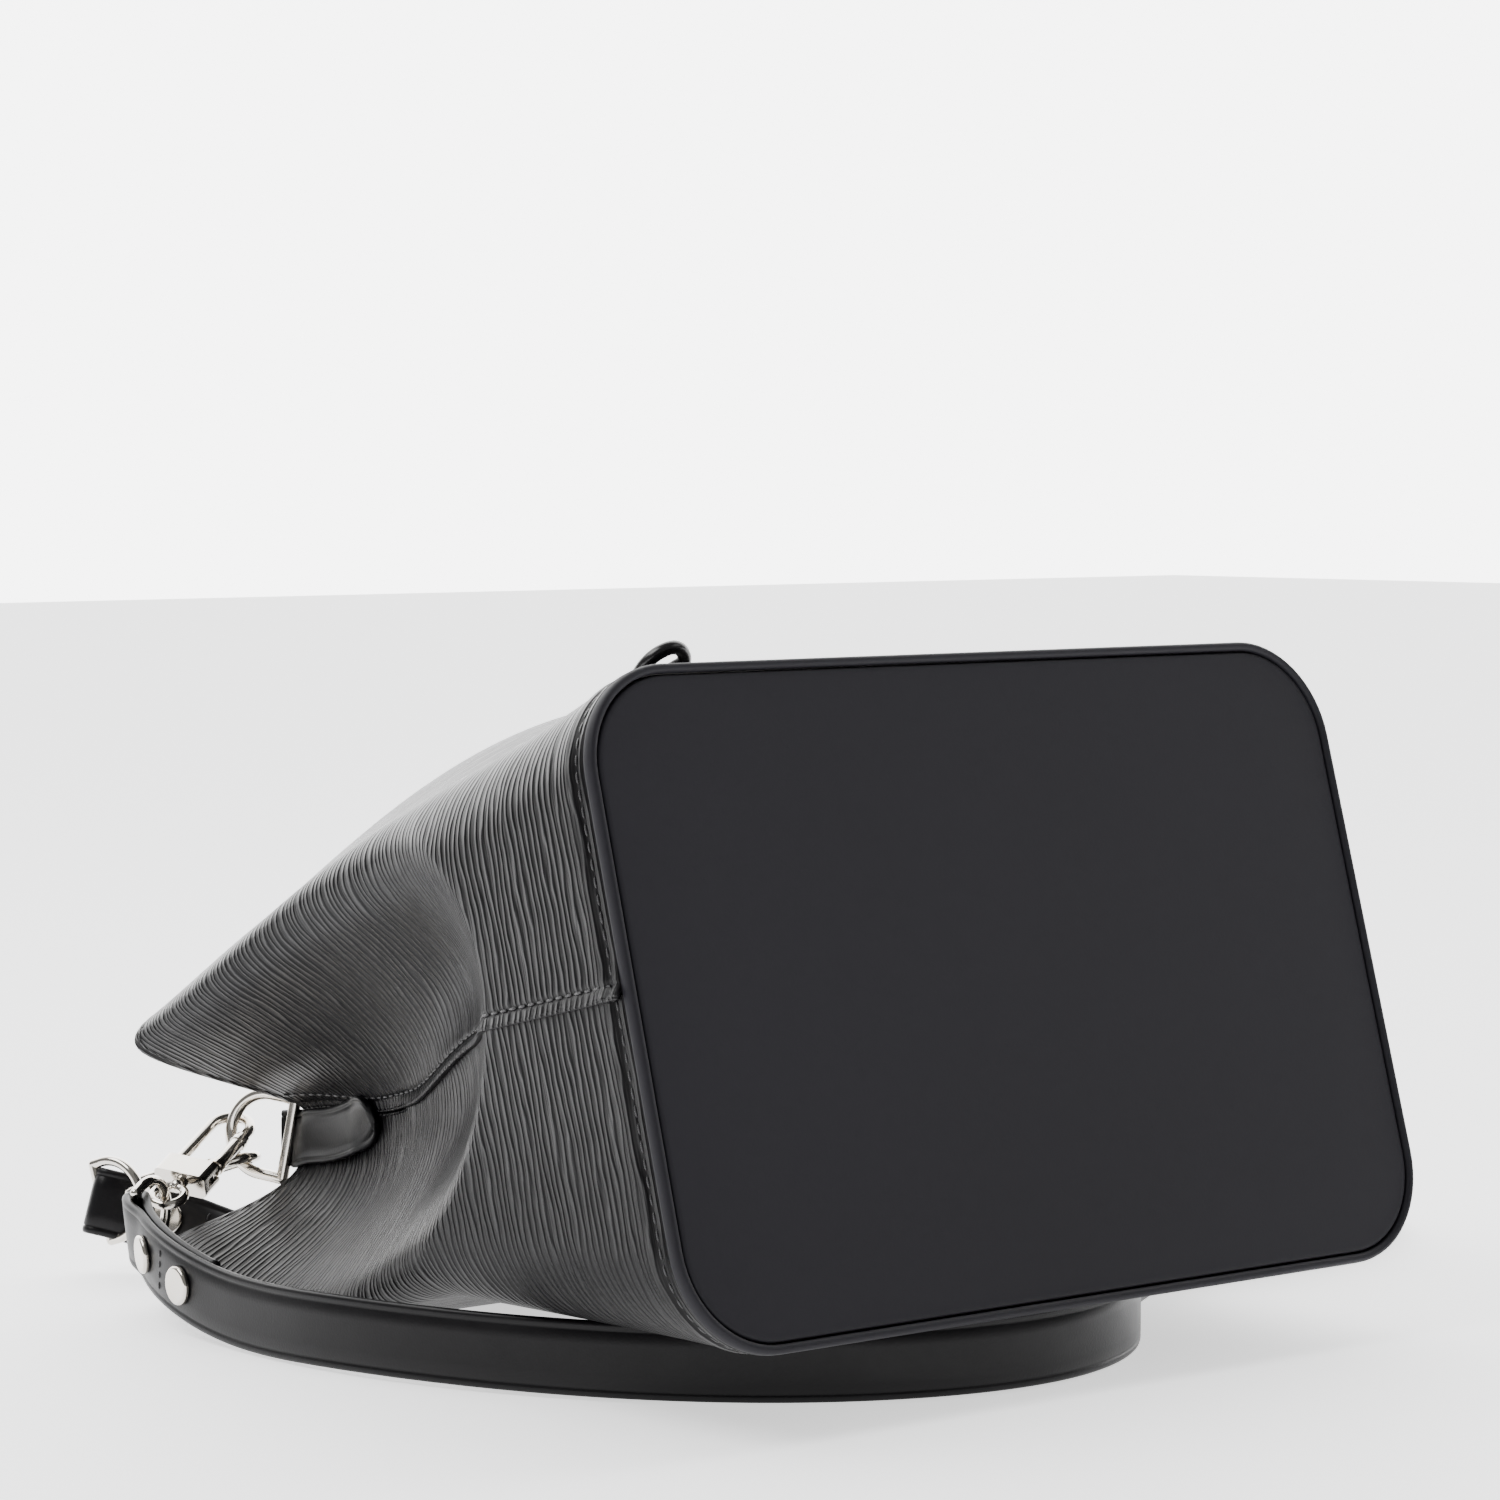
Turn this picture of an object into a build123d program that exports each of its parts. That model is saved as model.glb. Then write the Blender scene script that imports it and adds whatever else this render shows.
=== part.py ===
from build123d import *
import math
import os

os.makedirs("parts", exist_ok=True)

# Leather bucket handbag lying on its side: the base faces -Y, the mouth +Y, the floor is Z = 0.
# All sizes in millimetres.

# Bag body
BASE_WIDTH = 260.0
BASE_DEPTH = 175.0
BASE_TILT = 16.0
BASE_CORNER = 28.0
BASE_THICK = 3.2
RIM_WIDTH = 2.4
FLOOR_GAP = 20.4
MOUTH_TOP_Y = 275.0
MOUTH_TOP_Z = 76.0
MOUTH_LOW_Y = 268.0
MOUTH_CORNER = 8.0
MOUTH_NARROWING = 8.0
CROWN = 52.0
FOLD_DEPTH = 46.0
FOLD_PULL = 22.0
FOLD_START = 86.0
SEAM_OFFSET = 5.0
WALL = 1.8
LINING = 0.8
CREASE_THINNING = 0.7
SOFT_GAP = 0.3
STATIONS = 13

# Straps and hardware
STRAP_WIDTH = 20.0
STRAP_THICK = 2.6
RETURN_THICK = 2.2
RING_WIRE = 1.75
RING_BAR = 23.4
RING_REACH = 20.0
STRAP_RING_WIRE = 1.5
STRAP_RING_REACH = 15.0
HOOK_WIRE = 1.6
HOOK_HALF_WIDTH = 6.0
RIVET_RADIUS = 5.5
RIVET_PITCH = 24.0
RUN_GAP = 0.06

# Drawstring
CORD_RADIUS = 2.1
ARCH_HALF = 6.5
ARCH_HEIGHT = 12.0

TILT = math.radians(BASE_TILT)
WALL_FOOT_Y = 3.3


def clamp(value):
    return max(0.0, min(1.0, value))


def smooth(value):
    v = clamp(value)
    return v * v * (3 - 2 * v)


def ease(value):
    v = clamp(value)
    return 1 - (1 - v) ** 2


# Bag wall as a formula. t runs from the base (0) to the mouth (1).
def low_edge(t):
    y = WALL_FOOT_Y + (MOUTH_LOW_Y - WALL_FOOT_Y) * t
    z = FLOOR_GAP - (FLOOR_GAP - 3.4) * smooth((y - 112) / 75) + 11 * smooth((y - 205) / 63)
    return y, z


def high_edge(t):
    y0 = WALL_FOOT_Y + BASE_DEPTH * math.sin(TILT)
    z0 = FLOOR_GAP + BASE_DEPTH * math.cos(TILT)
    return y0 + (MOUTH_TOP_Y - y0) * t, z0 + (MOUTH_TOP_Z - z0) * t


def seam_shift(t):
    return SEAM_OFFSET + 3 * smooth((t - 0.5) / 0.5)


def outline(t, side, d):
    """Point (x, v) on the left half of the outline, d along it from the side seam."""
    yl, zl = low_edge(t)
    yu, zu = high_edge(t)
    h = math.hypot(yu - yl, zu - zl) / 2
    a = BASE_WIDTH / 2 - MOUTH_NARROWING * smooth((t - 0.45) / 0.55)
    r = BASE_CORNER - (BASE_CORNER - MOUTH_CORNER) * smooth(t / 0.9)
    reach = h - side * seam_shift(t)
    straight = reach - r
    arc = math.pi / 2 * r
    length = straight + arc + a - r
    run = d * length
    if run < straight:
        x, v = -a, run
    elif run < straight + arc:
        q = (run - straight) / r
        x, v = -a + r - r * math.cos(q), straight + r * math.sin(q)
    else:
        x, v = -a + r + run - straight - arc, reach
    w = v / reach
    return x, v, w, reach, a


def wall_xyz(t, side, d):
    """Point on the outer wall. side +1 is the upper half, -1 the lower half."""
    yl, zl = low_edge(t)
    yu, zu = high_edge(t)
    h = math.hypot(yu - yl, zu - zl) / 2
    dy, dz = (yu - yl) / (2 * h), (zu - zl) / (2 * h)
    ym = (yl + yu) / 2 + dy * seam_shift(t)
    zm = (zl + zu) / 2 + dz * seam_shift(t)
    x, v, w, reach, a = outline(t, side, d)
    late = smooth((t - 0.6) / 0.4)
    if side > 0:
        shape = (1 - w * w) * (1 - w) ** (1.1 * late)
    else:
        shape = 1 - w ** (2 + 1.5 * late)
    start = FOLD_START + 48 * w * w
    depth = ease((ym + side * dy * v - start) / (MOUTH_LOW_Y - 6 - start)) * shape
    inner = clamp((x + a) / a)
    depth = depth * (1 - inner) ** 3
    mid = clamp(1 - (x / a) ** 2)
    if side > 0:
        v = v + CROWN * smooth(t / 0.7) * mid ** 1.3 * smooth(w / 0.9)
    else:
        v = v + 10 * smooth((t - 0.76) / 0.24) * mid * smooth(w / 0.9)
    x = x + FOLD_DEPTH * depth
    y = ym + side * dy * v - FOLD_PULL * depth * depth
    return Vector(x, y, zm + side * dz * v)


def wall_point(t, side, d, inset):
    """Wall point moved towards the inside of the bag by inset."""
    here = wall_xyz(t, side, d)
    e = 0.004
    along = wall_xyz(t, side, min(1.0, d + e)) - wall_xyz(t, side, max(0.0, d - e))
    up = wall_xyz(min(1.03, t + 0.01), side, d) - wall_xyz(t - 0.01, side, d)
    if d > 0.999:
        along = Vector(1, 0, 0)
    normal = along.cross(up).normalized() * (-side)
    return here + normal * inset * crease_share(t, side, d)


def crease_share(t, side, d):
    """Share of the thickness left where the lower wall is creased sharply at its corner."""
    if side > 0 or t < 0.6:
        return 1.0
    x, v, w, reach, a = outline(t, side, d)
    away = math.hypot(x + a - 0.83 * MOUTH_CORNER, reach - v)
    return 1 - CREASE_THINNING * smooth((t - 0.6) / 0.2) * math.exp(-((away / 7) ** 2))


def mirrored(point):
    return Vector(-point.X, point.Y, point.Z)


FRACTIONS = [0, 0.05, 0.1, 0.16, 0.22, 0.28, 0.34, 0.4, 0.46, 0.52, 0.6, 0.7, 0.8, 0.9, 1.0]


def half_line(t, side, inset):
    """Points from the left seam over the middle to the right seam."""
    left = [wall_point(t, side, d, inset) for d in FRACTIONS]
    return left + [mirrored(p) for p in reversed(left[:-1])]


def sheet_solid(rows_out, rows_in):
    """Closed solid between two grids of points."""
    out_edges = [Spline(*row) for row in rows_out]
    in_edges = [Spline(*row) for row in rows_in]
    wires = []
    for out_edge, in_edge in zip(out_edges, in_edges):
        wires.append(Wire([
            out_edge,
            Line(out_edge @ 1, in_edge @ 1),
            in_edge,
            Line(in_edge @ 0, out_edge @ 0),
        ]))
    faces = [f for f in Shell.make_loft(wires).faces()]
    caps = [Face.make_surface_from_curves(out_edges[i], in_edges[i]) for i in (0, -1)]
    solid = Solid(Shell(faces + caps))
    if solid.volume < 0:
        solid = Solid(Shell([-f for f in faces + caps]))
    return solid


def wall_shell(side, t0, t1, out_inset, in_inset):
    stations = [t0 + (t1 - t0) * i / (STATIONS - 1) for i in range(STATIONS)]
    rows_out = [half_line(t, side, out_inset) for t in stations]
    rows_in = [half_line(t, side, in_inset) for t in stations]
    return sheet_solid(rows_out, rows_in)


def patch(side, t0, t1, d0, d1, out_inset, in_inset, stations=7, count=7):
    """Thin piece that lies on the wall between two distances from the seam."""
    rows_out = []
    rows_in = []
    for i in range(stations):
        t = t0 + (t1 - t0) * i / (stations - 1)
        fractions = [d0(t) + (d1(t) - d0(t)) * k / (count - 1) for k in range(count)]
        rows_out.append([wall_point(t, side, d, out_inset) for d in fractions])
        rows_in.append([wall_point(t, side, d, in_inset) for d in fractions])
    return sheet_solid(rows_out, rows_in)


parts = {}

# Base: smooth panel in a raised rim, stiffened by a board inside
base_mid = Vector(0, WALL_FOOT_Y + BASE_DEPTH / 2 * math.sin(TILT), FLOOR_GAP + BASE_DEPTH / 2 * math.cos(TILT))
base_plane = Plane(
    origin=base_mid,
    x_dir=(1, 0, 0),
    z_dir=(0, -math.cos(TILT), math.sin(TILT)),
)


def base_slab(margin, z0, z1):
    outline_2d = RectangleRounded(
        BASE_WIDTH - 2 * margin,
        BASE_DEPTH - 2 * margin,
        BASE_CORNER - margin,
    )
    return base_plane * (Pos(0, 0, z0) * extrude(outline_2d, z1 - z0))


parts["base_panel"] = base_slab(RIM_WIDTH + 0.5, 0.35, BASE_THICK)
parts["base_rim"] = base_slab(0, 0.55, BASE_THICK + 0.5) - base_slab(RIM_WIDTH, -1, BASE_THICK + 1)
inside = WALL + SOFT_GAP + LINING + 1.2
parts["base_board"] = base_slab(inside, -2.0, 0.3)

# Walls and lining: each half reaches from one side seam round to the other
parts["front_panel"] = wall_shell(1, 0.0, 1.0, 0, WALL)
parts["back_panel"] = wall_shell(-1, 0.0, 1.0, 0, WALL)
SKIN = WALL + SOFT_GAP + LINING
parts["front_lining"] = wall_shell(1, 0.01, 0.985, WALL + SOFT_GAP, SKIN)
parts["back_lining"] = wall_shell(-1, 0.01, 0.985, WALL + SOFT_GAP, SKIN)

# Tabs over the side seams at the mouth, each folded round the bar of a D-ring
def seam_fraction(t, side, mm):
    yl, zl = low_edge(t)
    yu, zu = high_edge(t)
    h = math.hypot(yu - yl, zu - zl) / 2
    a = BASE_WIDTH / 2 - MOUTH_NARROWING * smooth((t - 0.45) / 0.55)
    r = BASE_CORNER - (BASE_CORNER - MOUTH_CORNER) * smooth(t / 0.9)
    return mm / (h - side * seam_shift(t) - r + math.pi / 2 * r + a - r)


def tube(p0, p1, radius):
    axis = p1 - p0
    return Plane(origin=p0, z_dir=axis) * Cylinder(
        radius,
        axis.length,
        align=(Align.CENTER, Align.CENTER, Align.MIN),
    )


TAB_END = 1.022
tab_top = wall_point(TAB_END, -1, seam_fraction(1.0, -1, 1.0), -1.2)
tab_low = wall_point(TAB_END, -1, seam_fraction(1.0, -1, 17.0), -1.2)
tab_mid = (tab_top + tab_low) * 0.5
ring_axis = (tab_low - tab_top).normalized()
TAB_WIDTH = (tab_low - tab_top).length
tab_plate = patch(
    -1,
    0.78,
    TAB_END,
    lambda t: seam_fraction(t, -1, 1.0),
    lambda t: seam_fraction(t, -1, 17.0),
    -2.4,
    -0.25,
)
tab_fold = tube(tab_top, tab_low, RING_WIRE + RUN_GAP + 1.9)
tab_bore = tube(tab_top - ring_axis * 3, tab_low + ring_axis * 3, RING_WIRE + RUN_GAP)
tab = (tab_plate + tab_fold - tab_bore).solids()[0]
parts["tab_left"] = tab
parts["tab_right"] = mirror(tab, about=Plane.YZ)


# D-shaped rings: a straight bar and a round bow
def d_ring(centre, bar_dir, reach_dir, bar, reach, wire):
    """The bar's middle is at centre, the bow points along reach_dir."""
    frame = Plane(origin=centre, x_dir=reach_dir, z_dir=reach_dir.cross(bar_dir))
    half = bar / 2
    straight = reach - half
    bow = revolve(Plane.XZ * Pos(-half, 0, 0) * Circle(wire), Axis.Z, 180)
    bow = Pos(straight, 0, 0) * Rot(0, 0, 90) * bow
    body = Cylinder(wire, bar, rotation=(90, 0, 0))
    for sign in (-1, 1):
        leg = Cylinder(wire, straight + 0.01, rotation=(0, 90, 0))
        body = body + Pos((straight + 0.01) / 2, sign * half, 0) * leg
        body = body + Pos(0, sign * half, 0) * Sphere(wire)
    body = body + bow
    return (frame * body).solids()[0]


ring_reach = Vector(-0.42, 0.9, -0.05)
ring_reach = (ring_reach - ring_axis * ring_reach.dot(ring_axis)).normalized()
left_ring = d_ring(tab_mid, ring_axis, ring_reach, RING_BAR, RING_REACH, RING_WIRE)
parts["d_ring_left"] = left_ring
parts["d_ring_right"] = mirror(left_ring, about=Plane.YZ)


# Snap hook in its own frame: +X from the nose to the strap, the gate on the -Y leg
GATE_RADIUS = 2.1
PIN_X = 28.0
BLOCK_X0 = 25.8
BLOCK_X1 = 34.0
EYE_RADIUS = 4.6
EYE_WIRE = 1.4
EYE_X = BLOCK_X1 + 0.7 + EYE_WIRE + EYE_RADIUS
PULL_X = EYE_X + EYE_RADIUS - EYE_WIRE - STRAP_RING_WIRE - 0.2
CHAIN = PULL_X + STRAP_RING_REACH
NOSE_X = RING_WIRE + 1.2


def hook_solids():
    half = HOOK_HALF_WIDTH
    bow_x = half - HOOK_WIRE
    bow = revolve(Plane.XZ * Pos(-half, 0, 0) * Circle(HOOK_WIRE), Axis.Z, 180)
    bow = Pos(bow_x, 0, 0) * Rot(0, 0, -90) * bow
    long_leg = Cylinder(HOOK_WIRE, BLOCK_X0 - bow_x + 1, rotation=(0, 90, 0))
    tip_leg = Cylinder(HOOK_WIRE, 2.6, rotation=(0, 90, 0))
    block = Box(BLOCK_X1 - BLOCK_X0, 2 * half + 4.4, 7.6)
    block = fillet(block.edges().filter_by(Axis.X), 1.6)
    frame = bow + Pos((BLOCK_X0 + bow_x + 1) / 2, half, 0) * long_leg
    frame = frame + Pos(bow_x + 1.3, -half, 0) * tip_leg
    frame = frame + Pos((BLOCK_X0 + BLOCK_X1) / 2, 0, 0) * block
    slot = Box(PIN_X + 3.6 - BLOCK_X0, 6.4, 2.6)
    frame = frame - Pos((BLOCK_X0 + PIN_X + 3.6) / 2 - 0.01, -half - 0.4, 0) * slot
    frame = frame - Pos(PIN_X, -half, 0) * Cylinder(0.9, 7.0)
    neck = Cylinder(1.5 + RUN_GAP, 6, rotation=(0, 90, 0))
    head_room = Cylinder(2.6, 2.8, rotation=(0, 90, 0))
    frame = frame - Pos(BLOCK_X1, 0, 0) * neck - Pos(BLOCK_X1 - 4.4, 0, 0) * head_room

    gate_x0 = bow_x + 2.9
    gate_len = BLOCK_X0 - 0.3 - gate_x0
    gate = Pos(gate_x0 + gate_len / 2, -half, 0) * Cylinder(GATE_RADIUS, gate_len, rotation=(0, 90, 0))
    for x in (0.14, 0.86):
        collar = Cylinder(GATE_RADIUS + 0.35, 1.6, rotation=(0, 90, 0))
        gate = gate + Pos(gate_x0 + gate_len * x, -half, 0) * collar
    tongue = Pos((PIN_X + BLOCK_X0) / 2 - 0.4, -half, 0) * Box(PIN_X - BLOCK_X0 + 2.6, 2.8, 2.2)
    tongue = tongue + Pos(PIN_X, -half, 0) * Cylinder(1.7, 2.2)
    gate = gate + tongue - Pos(PIN_X, -half, 0) * Cylinder(0.9 + RUN_GAP, 7.0)
    pin = Pos(PIN_X, -half, 0) * Cylinder(0.9, 7.0)

    eye = Pos(EYE_X, 0, 0) * Torus(EYE_RADIUS, EYE_WIRE)
    post = Pos((BLOCK_X1 - 4.2 + EYE_X - EYE_RADIUS) / 2, 0, 0) * Cylinder(
        1.5,
        EYE_X - EYE_RADIUS - BLOCK_X1 + 4.2,
        rotation=(0, 90, 0),
    )
    head = Pos(BLOCK_X1 - 4.4, 0, 0) * Cylinder(2.4, 2.2, rotation=(0, 90, 0))
    ball = Pos(BLOCK_X1 + 1.5, 0, 0) * Sphere(2.1) & Pos(BLOCK_X1 + 5.1, 0, 0) * Box(10, 10, 10)
    eye = eye + post + head + ball
    return {"frame": frame, "gate": gate, "gate_pin": pin, "swivel": eye}


HOOK = hook_solids()
anchors = {}


def put_hook(name, nose, towards, wire_dir, turn=0, ring_dir=None):
    """Place one hook with its strap ring. Returns the ring bar's middle and direction."""
    x_dir = (towards - nose).normalized()
    z_dir = (wire_dir - x_dir * wire_dir.dot(x_dir)).normalized()
    frame = Plane(origin=nose - x_dir * NOSE_X, x_dir=x_dir, z_dir=z_dir)
    for key, solid in HOOK.items():
        spin = Rot(turn, 0, 0) if key == "swivel" else Rot(0, 0, 0)
        parts[f"{key}_{name}"] = (frame * spin * solid).solids()[0]
    pull = frame.from_local_coords(Vector(PULL_X, 0, 0))
    ring_dir = x_dir if ring_dir is None else ring_dir.normalized()
    bar_dir = z_dir if turn == 0 else frame.y_dir
    ring_mid = pull + ring_dir * STRAP_RING_REACH
    parts[f"strap_ring_{name}"] = d_ring(
        ring_mid,
        bar_dir,
        ring_dir * -1,
        RING_BAR,
        STRAP_RING_REACH,
        STRAP_RING_WIRE,
    )
    anchors[f"{name}_x"] = x_dir
    anchors[f"{name}_y"] = frame.y_dir
    anchors[f"{name}_z"] = z_dir
    anchors[f"{name}_pin"] = frame.from_local_coords(Vector(PIN_X, -HOOK_HALF_WIDTH, 0))
    anchors[f"{name}_neck"] = frame.from_local_coords(Vector(BLOCK_X1, 0, 0))
    anchors[f"{name}_pull"] = pull
    anchors[f"{name}_bar"] = ring_mid
    anchors[f"{name}_bar_dir"] = bar_dir
    return ring_mid, bar_dir


def bow_point(angle):
    """Middle of the left D-ring's wire, angle in degrees from the bow's tip."""
    q = math.radians(angle)
    half = RING_BAR / 2
    centre = tab_mid + ring_reach * (RING_REACH - half)
    point = centre + (ring_reach * math.cos(q) + ring_axis * math.sin(q)) * half
    tangent = ring_axis * math.cos(q) - ring_reach * math.sin(q)
    return point, tangent


NEAR_END = Vector(-142, 248, 18)
FAR_END = Vector(-103, 318, 20)
near_nose, near_wire = bow_point(0)
far_nose, far_wire = bow_point(52)
near_bar, near_dir = put_hook("long_left", near_nose, NEAR_END, near_wire)
far_bar, far_dir = put_hook("handle_left", far_nose, FAR_END, far_wire)
print("chain", CHAIN, "tab", tab_mid, "ring axis", ring_axis, "reach", ring_reach)
print("near bar", near_bar, near_dir, near_nose, near_wire, "far bar", far_bar, far_dir, far_nose)


# Far ends of both straps, unclipped and lying on the floor behind the bag
LYING_EYE_Z = 6.2
LYING_BAR_Z = 4.25
LYING_NOSE_Z = 2.6


def put_lying_hook(name, bar_x, bar_y, heading):
    """A hook lying flat. heading is the level direction from the ring bar to the nose."""
    q = math.radians(heading)
    level = Vector(math.cos(q), math.sin(q), 0)
    drop = LYING_EYE_Z - LYING_BAR_Z
    ring_run = math.sqrt(STRAP_RING_REACH ** 2 - drop ** 2)
    bar = Vector(bar_x, bar_y, LYING_BAR_Z)
    pull = bar + level * ring_run + Vector(0, 0, drop)
    fall = LYING_EYE_Z - LYING_NOSE_Z
    hook_run = math.sqrt((PULL_X - NOSE_X) ** 2 - fall ** 2)
    nose = pull + level * hook_run - Vector(0, 0, fall)
    return put_hook(name, nose, pull, Vector(0, 0, 1), 90, bar - pull)


long_bar, long_dir = put_lying_hook("long_right", 236, 252, 117)
hand_bar, hand_dir = put_lying_hook("handle_right", 114, 330, 105)


# Straps: flat leather bands swept along the floor, rolled about their own length
class Band:
    """rolls: pairs of (fraction, angle). 0 stands on edge, 90 lies flat."""

    def __init__(self, points, rolls):
        self.path = Spline(*points)
        self.rolls = rolls
        self.length = self.path.length

    def side(self, u):
        return (self.path % u).cross(Vector(0, 0, 1)).normalized()

    def frame(self, u):
        centre = self.path @ u
        tangent = self.path % u
        side = self.side(u)
        for (u0, r0), (u1, r1) in zip(self.rolls, self.rolls[1:]):
            if u <= u1:
                break
        roll = math.radians(r0 + (r1 - r0) * smooth((u - u0) / (u1 - u0)))
        upright = side.cross(tangent)
        width = upright * math.cos(roll) + side * math.sin(roll)
        return centre, tangent, width, width.cross(tangent)

    def angle_to(self, u, direction):
        """Roll that lays the band's width along a direction."""
        side = self.side(u)
        upright = side.cross(self.path % u)
        return math.degrees(math.atan2(direction.dot(side), direction.dot(upright)))

    def layer(self, u0, u1, low, high, count):
        """Band of leather between two offsets across its thickness."""
        wires = []
        for i in range(count):
            u = u0 + (u1 - u0) * i / (count - 1)
            centre, tangent, width, across = self.frame(u)
            half = STRAP_WIDTH / 2
            corners = [
                centre + width * half + across * low,
                centre + width * half + across * high,
                centre - width * half + across * high,
                centre - width * half + across * low,
            ]
            wires.append(Wire.make_polygon(corners, close=True))
        return Solid.make_loft(wires)


RETURN_LENGTH = 58.0
FOLD_RADIUS = STRAP_RING_WIRE + RUN_GAP + 2.4


def make_strap(name, band, count, ends):
    """Strap with a fold round a ring bar at each end and a riveted return layer."""
    half_thick = STRAP_THICK / 2
    body = band.layer(0, 1, -half_thick, half_thick, count)
    for tag, u_end, inner in ends:
        bar_mid = anchors[f"{tag}_bar"]
        bar_dir = anchors[f"{tag}_bar_dir"]
        a = bar_mid - bar_dir * (STRAP_WIDTH / 2)
        b = bar_mid + bar_dir * (STRAP_WIDTH / 2)
        body = body + tube(a, b, FOLD_RADIUS)
        u_back = RETURN_LENGTH / band.length
        u0, u1 = (0.004, u_back) if u_end == 0 else (1 - u_back, 0.996)
        if inner > 0:
            low, high = half_thick - 0.2, half_thick + RETURN_THICK
        else:
            low, high = -half_thick - RETURN_THICK, -half_thick + 0.2
        body = body + band.layer(u0, u1, low, high, 6)
    for tag, u_end, inner in ends:
        bar_mid = anchors[f"{tag}_bar"]
        bar_dir = anchors[f"{tag}_bar_dir"]
        body = body - tube(bar_mid - bar_dir * 14, bar_mid + bar_dir * 14, STRAP_RING_WIRE + RUN_GAP)
        body = body - tube(bar_mid - bar_dir * 14, bar_mid - bar_dir * (STRAP_WIDTH / 2), FOLD_RADIUS + 1)
        body = body - tube(bar_mid + bar_dir * (STRAP_WIDTH / 2), bar_mid + bar_dir * 14, FOLD_RADIUS + 1)
        for number, distance in enumerate((20.0, 20.0 + RIVET_PITCH), 1):
            u = distance / band.length if u_end == 0 else 1 - distance / band.length
            centre, tangent, width, across = band.frame(u)
            low = -half_thick - (RETURN_THICK if inner < 0 else 0) - 0.45
            high = half_thick + (RETURN_THICK if inner > 0 else 0) + 0.45
            frame = Plane(origin=centre, x_dir=tangent, z_dir=across)
            shank = Pos(0, 0, (low + high) / 2) * Cylinder(2.0, high - low)
            rivet = shank
            for face, sign in ((low, -1), (high, 1)):
                head = Cylinder(RIVET_RADIUS, 1.4)
                head = fillet(head.edges().group_by(Axis.Z)[-1], 0.9)
                if sign < 0:
                    head = Rot(180, 0, 0) * head
                rivet = rivet + Pos(0, 0, face + sign * 0.7) * head
            parts[f"rivet_{tag}_{number}"] = (frame * rivet).solids()[0]
            body = body - frame * Pos(0, 0, (low + high) / 2) * Cylinder(2.05, 12)
    if name == "handle_strap":
        bar_axis = Axis(anchors["handle_left_bar"], anchors["handle_left_bar_dir"])
        for angle in (-1.6, 0, 1.6):
            body = body - parts["strap_ring_handle_left"].rotate(bar_axis, angle)
    parts[name] = body.solids().sort_by(SortBy.VOLUME)[-1]


ON_EDGE = STRAP_WIDTH / 2 + 0.1
FLAT_Z = STRAP_THICK / 2 + 0.1

long_points = [
    near_bar,
    Vector(-141, 226, 17),
    Vector(-142, 195, ON_EDGE + 1),
    Vector(-139, 150, ON_EDGE),
    Vector(-112, 78, ON_EDGE),
    Vector(-62, 25, ON_EDGE),
    Vector(0, 10, ON_EDGE),
    Vector(45, 30, ON_EDGE),
    Vector(85, 72, ON_EDGE),
    Vector(140, 98, ON_EDGE),
    Vector(200, 108, ON_EDGE),
    Vector(244, 140, 6),
    Vector(255, 190, 3.2),
    Vector(248, 225, 3.6),
    long_bar,
]
long_band = Band(long_points, [(0, 0), (0.12, 0), (0.7, 0), (0.86, 90), (1, 90)])
long_band.rolls[0] = (0, long_band.angle_to(0, near_dir * -1))
make_strap("long_strap", long_band, 40, (("long_left", 0, 1), ("long_right", 1, 1)))

handle_points = [
    far_bar,
    far_bar + Vector(11, -11, -4),
    far_bar + Vector(21, -24, -8.5),
    Vector(-72, 279, 7.5),
    Vector(-60, 258, 2.4),
    Vector(-42, 240, FLAT_Z),
    Vector(0, 226, FLAT_Z),
    Vector(55, 232, FLAT_Z),
    Vector(96, 262, 2.6),
    Vector(112, 297, 3.4),
    hand_bar,
]
handle_band = Band(handle_points, [(0, 0), (0.25, -90), (1, -90)])
handle_band.rolls[0] = (0, handle_band.angle_to(0, far_dir * -1))
print("handle roll", handle_band.rolls, long_band.rolls)
make_strap("handle_strap", handle_band, 30, (("handle_left", 0, 1), ("handle_right", 1, -1)))
print("long strap", long_band.length, "handle", handle_band.length)


# Flat zipped pocket sewn on the lower lining
def side_fraction(t, x):
    """Fraction along the lower outline where it lies x from the bag's middle."""
    low, high = 0.5, 1.0
    for _ in range(30):
        middle = (low + high) / 2
        if wall_xyz(t, -1, middle).X < -x:
            low = middle
        else:
            high = middle
    return (low + high) / 2


def flat_patch(t0, t1, half_width, low, high):
    rows_out = []
    rows_in = []
    for i in range(7):
        t = t0 + (t1 - t0) * i / 6
        edge = side_fraction(t, half_width)
        fractions = [edge + (1 - edge) * k / 4 for k in range(5)]
        for rows, inset in ((rows_out, low), (rows_in, high)):
            left = [wall_point(t, -1, d, inset) for d in fractions]
            rows.append(left + [mirrored(p) for p in reversed(left[:-1])])
    return sheet_solid(rows_out, rows_in)


POCKET_HALF = 72.0
ZIP_HALF = 64.0
ZIP_T0 = 0.705
ZIP_T1 = 0.75
parts["zip_pocket"] = flat_patch(0.36, 0.70, POCKET_HALF, SKIN + SOFT_GAP, SKIN + 1.6)
parts["zip_tape"] = flat_patch(ZIP_T0, ZIP_T1, POCKET_HALF, SKIN + 0.2, SKIN + 0.9)
zip_mid = wall_point((ZIP_T0 + ZIP_T1) / 2, -1, 1.0, SKIN + 0.9)
teeth = Box(2 * ZIP_HALF + 12, 3.2, 1.2)
parts["zip_teeth"] = Pos(zip_mid.X, zip_mid.Y, zip_mid.Z + 0.66) * teeth

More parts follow.
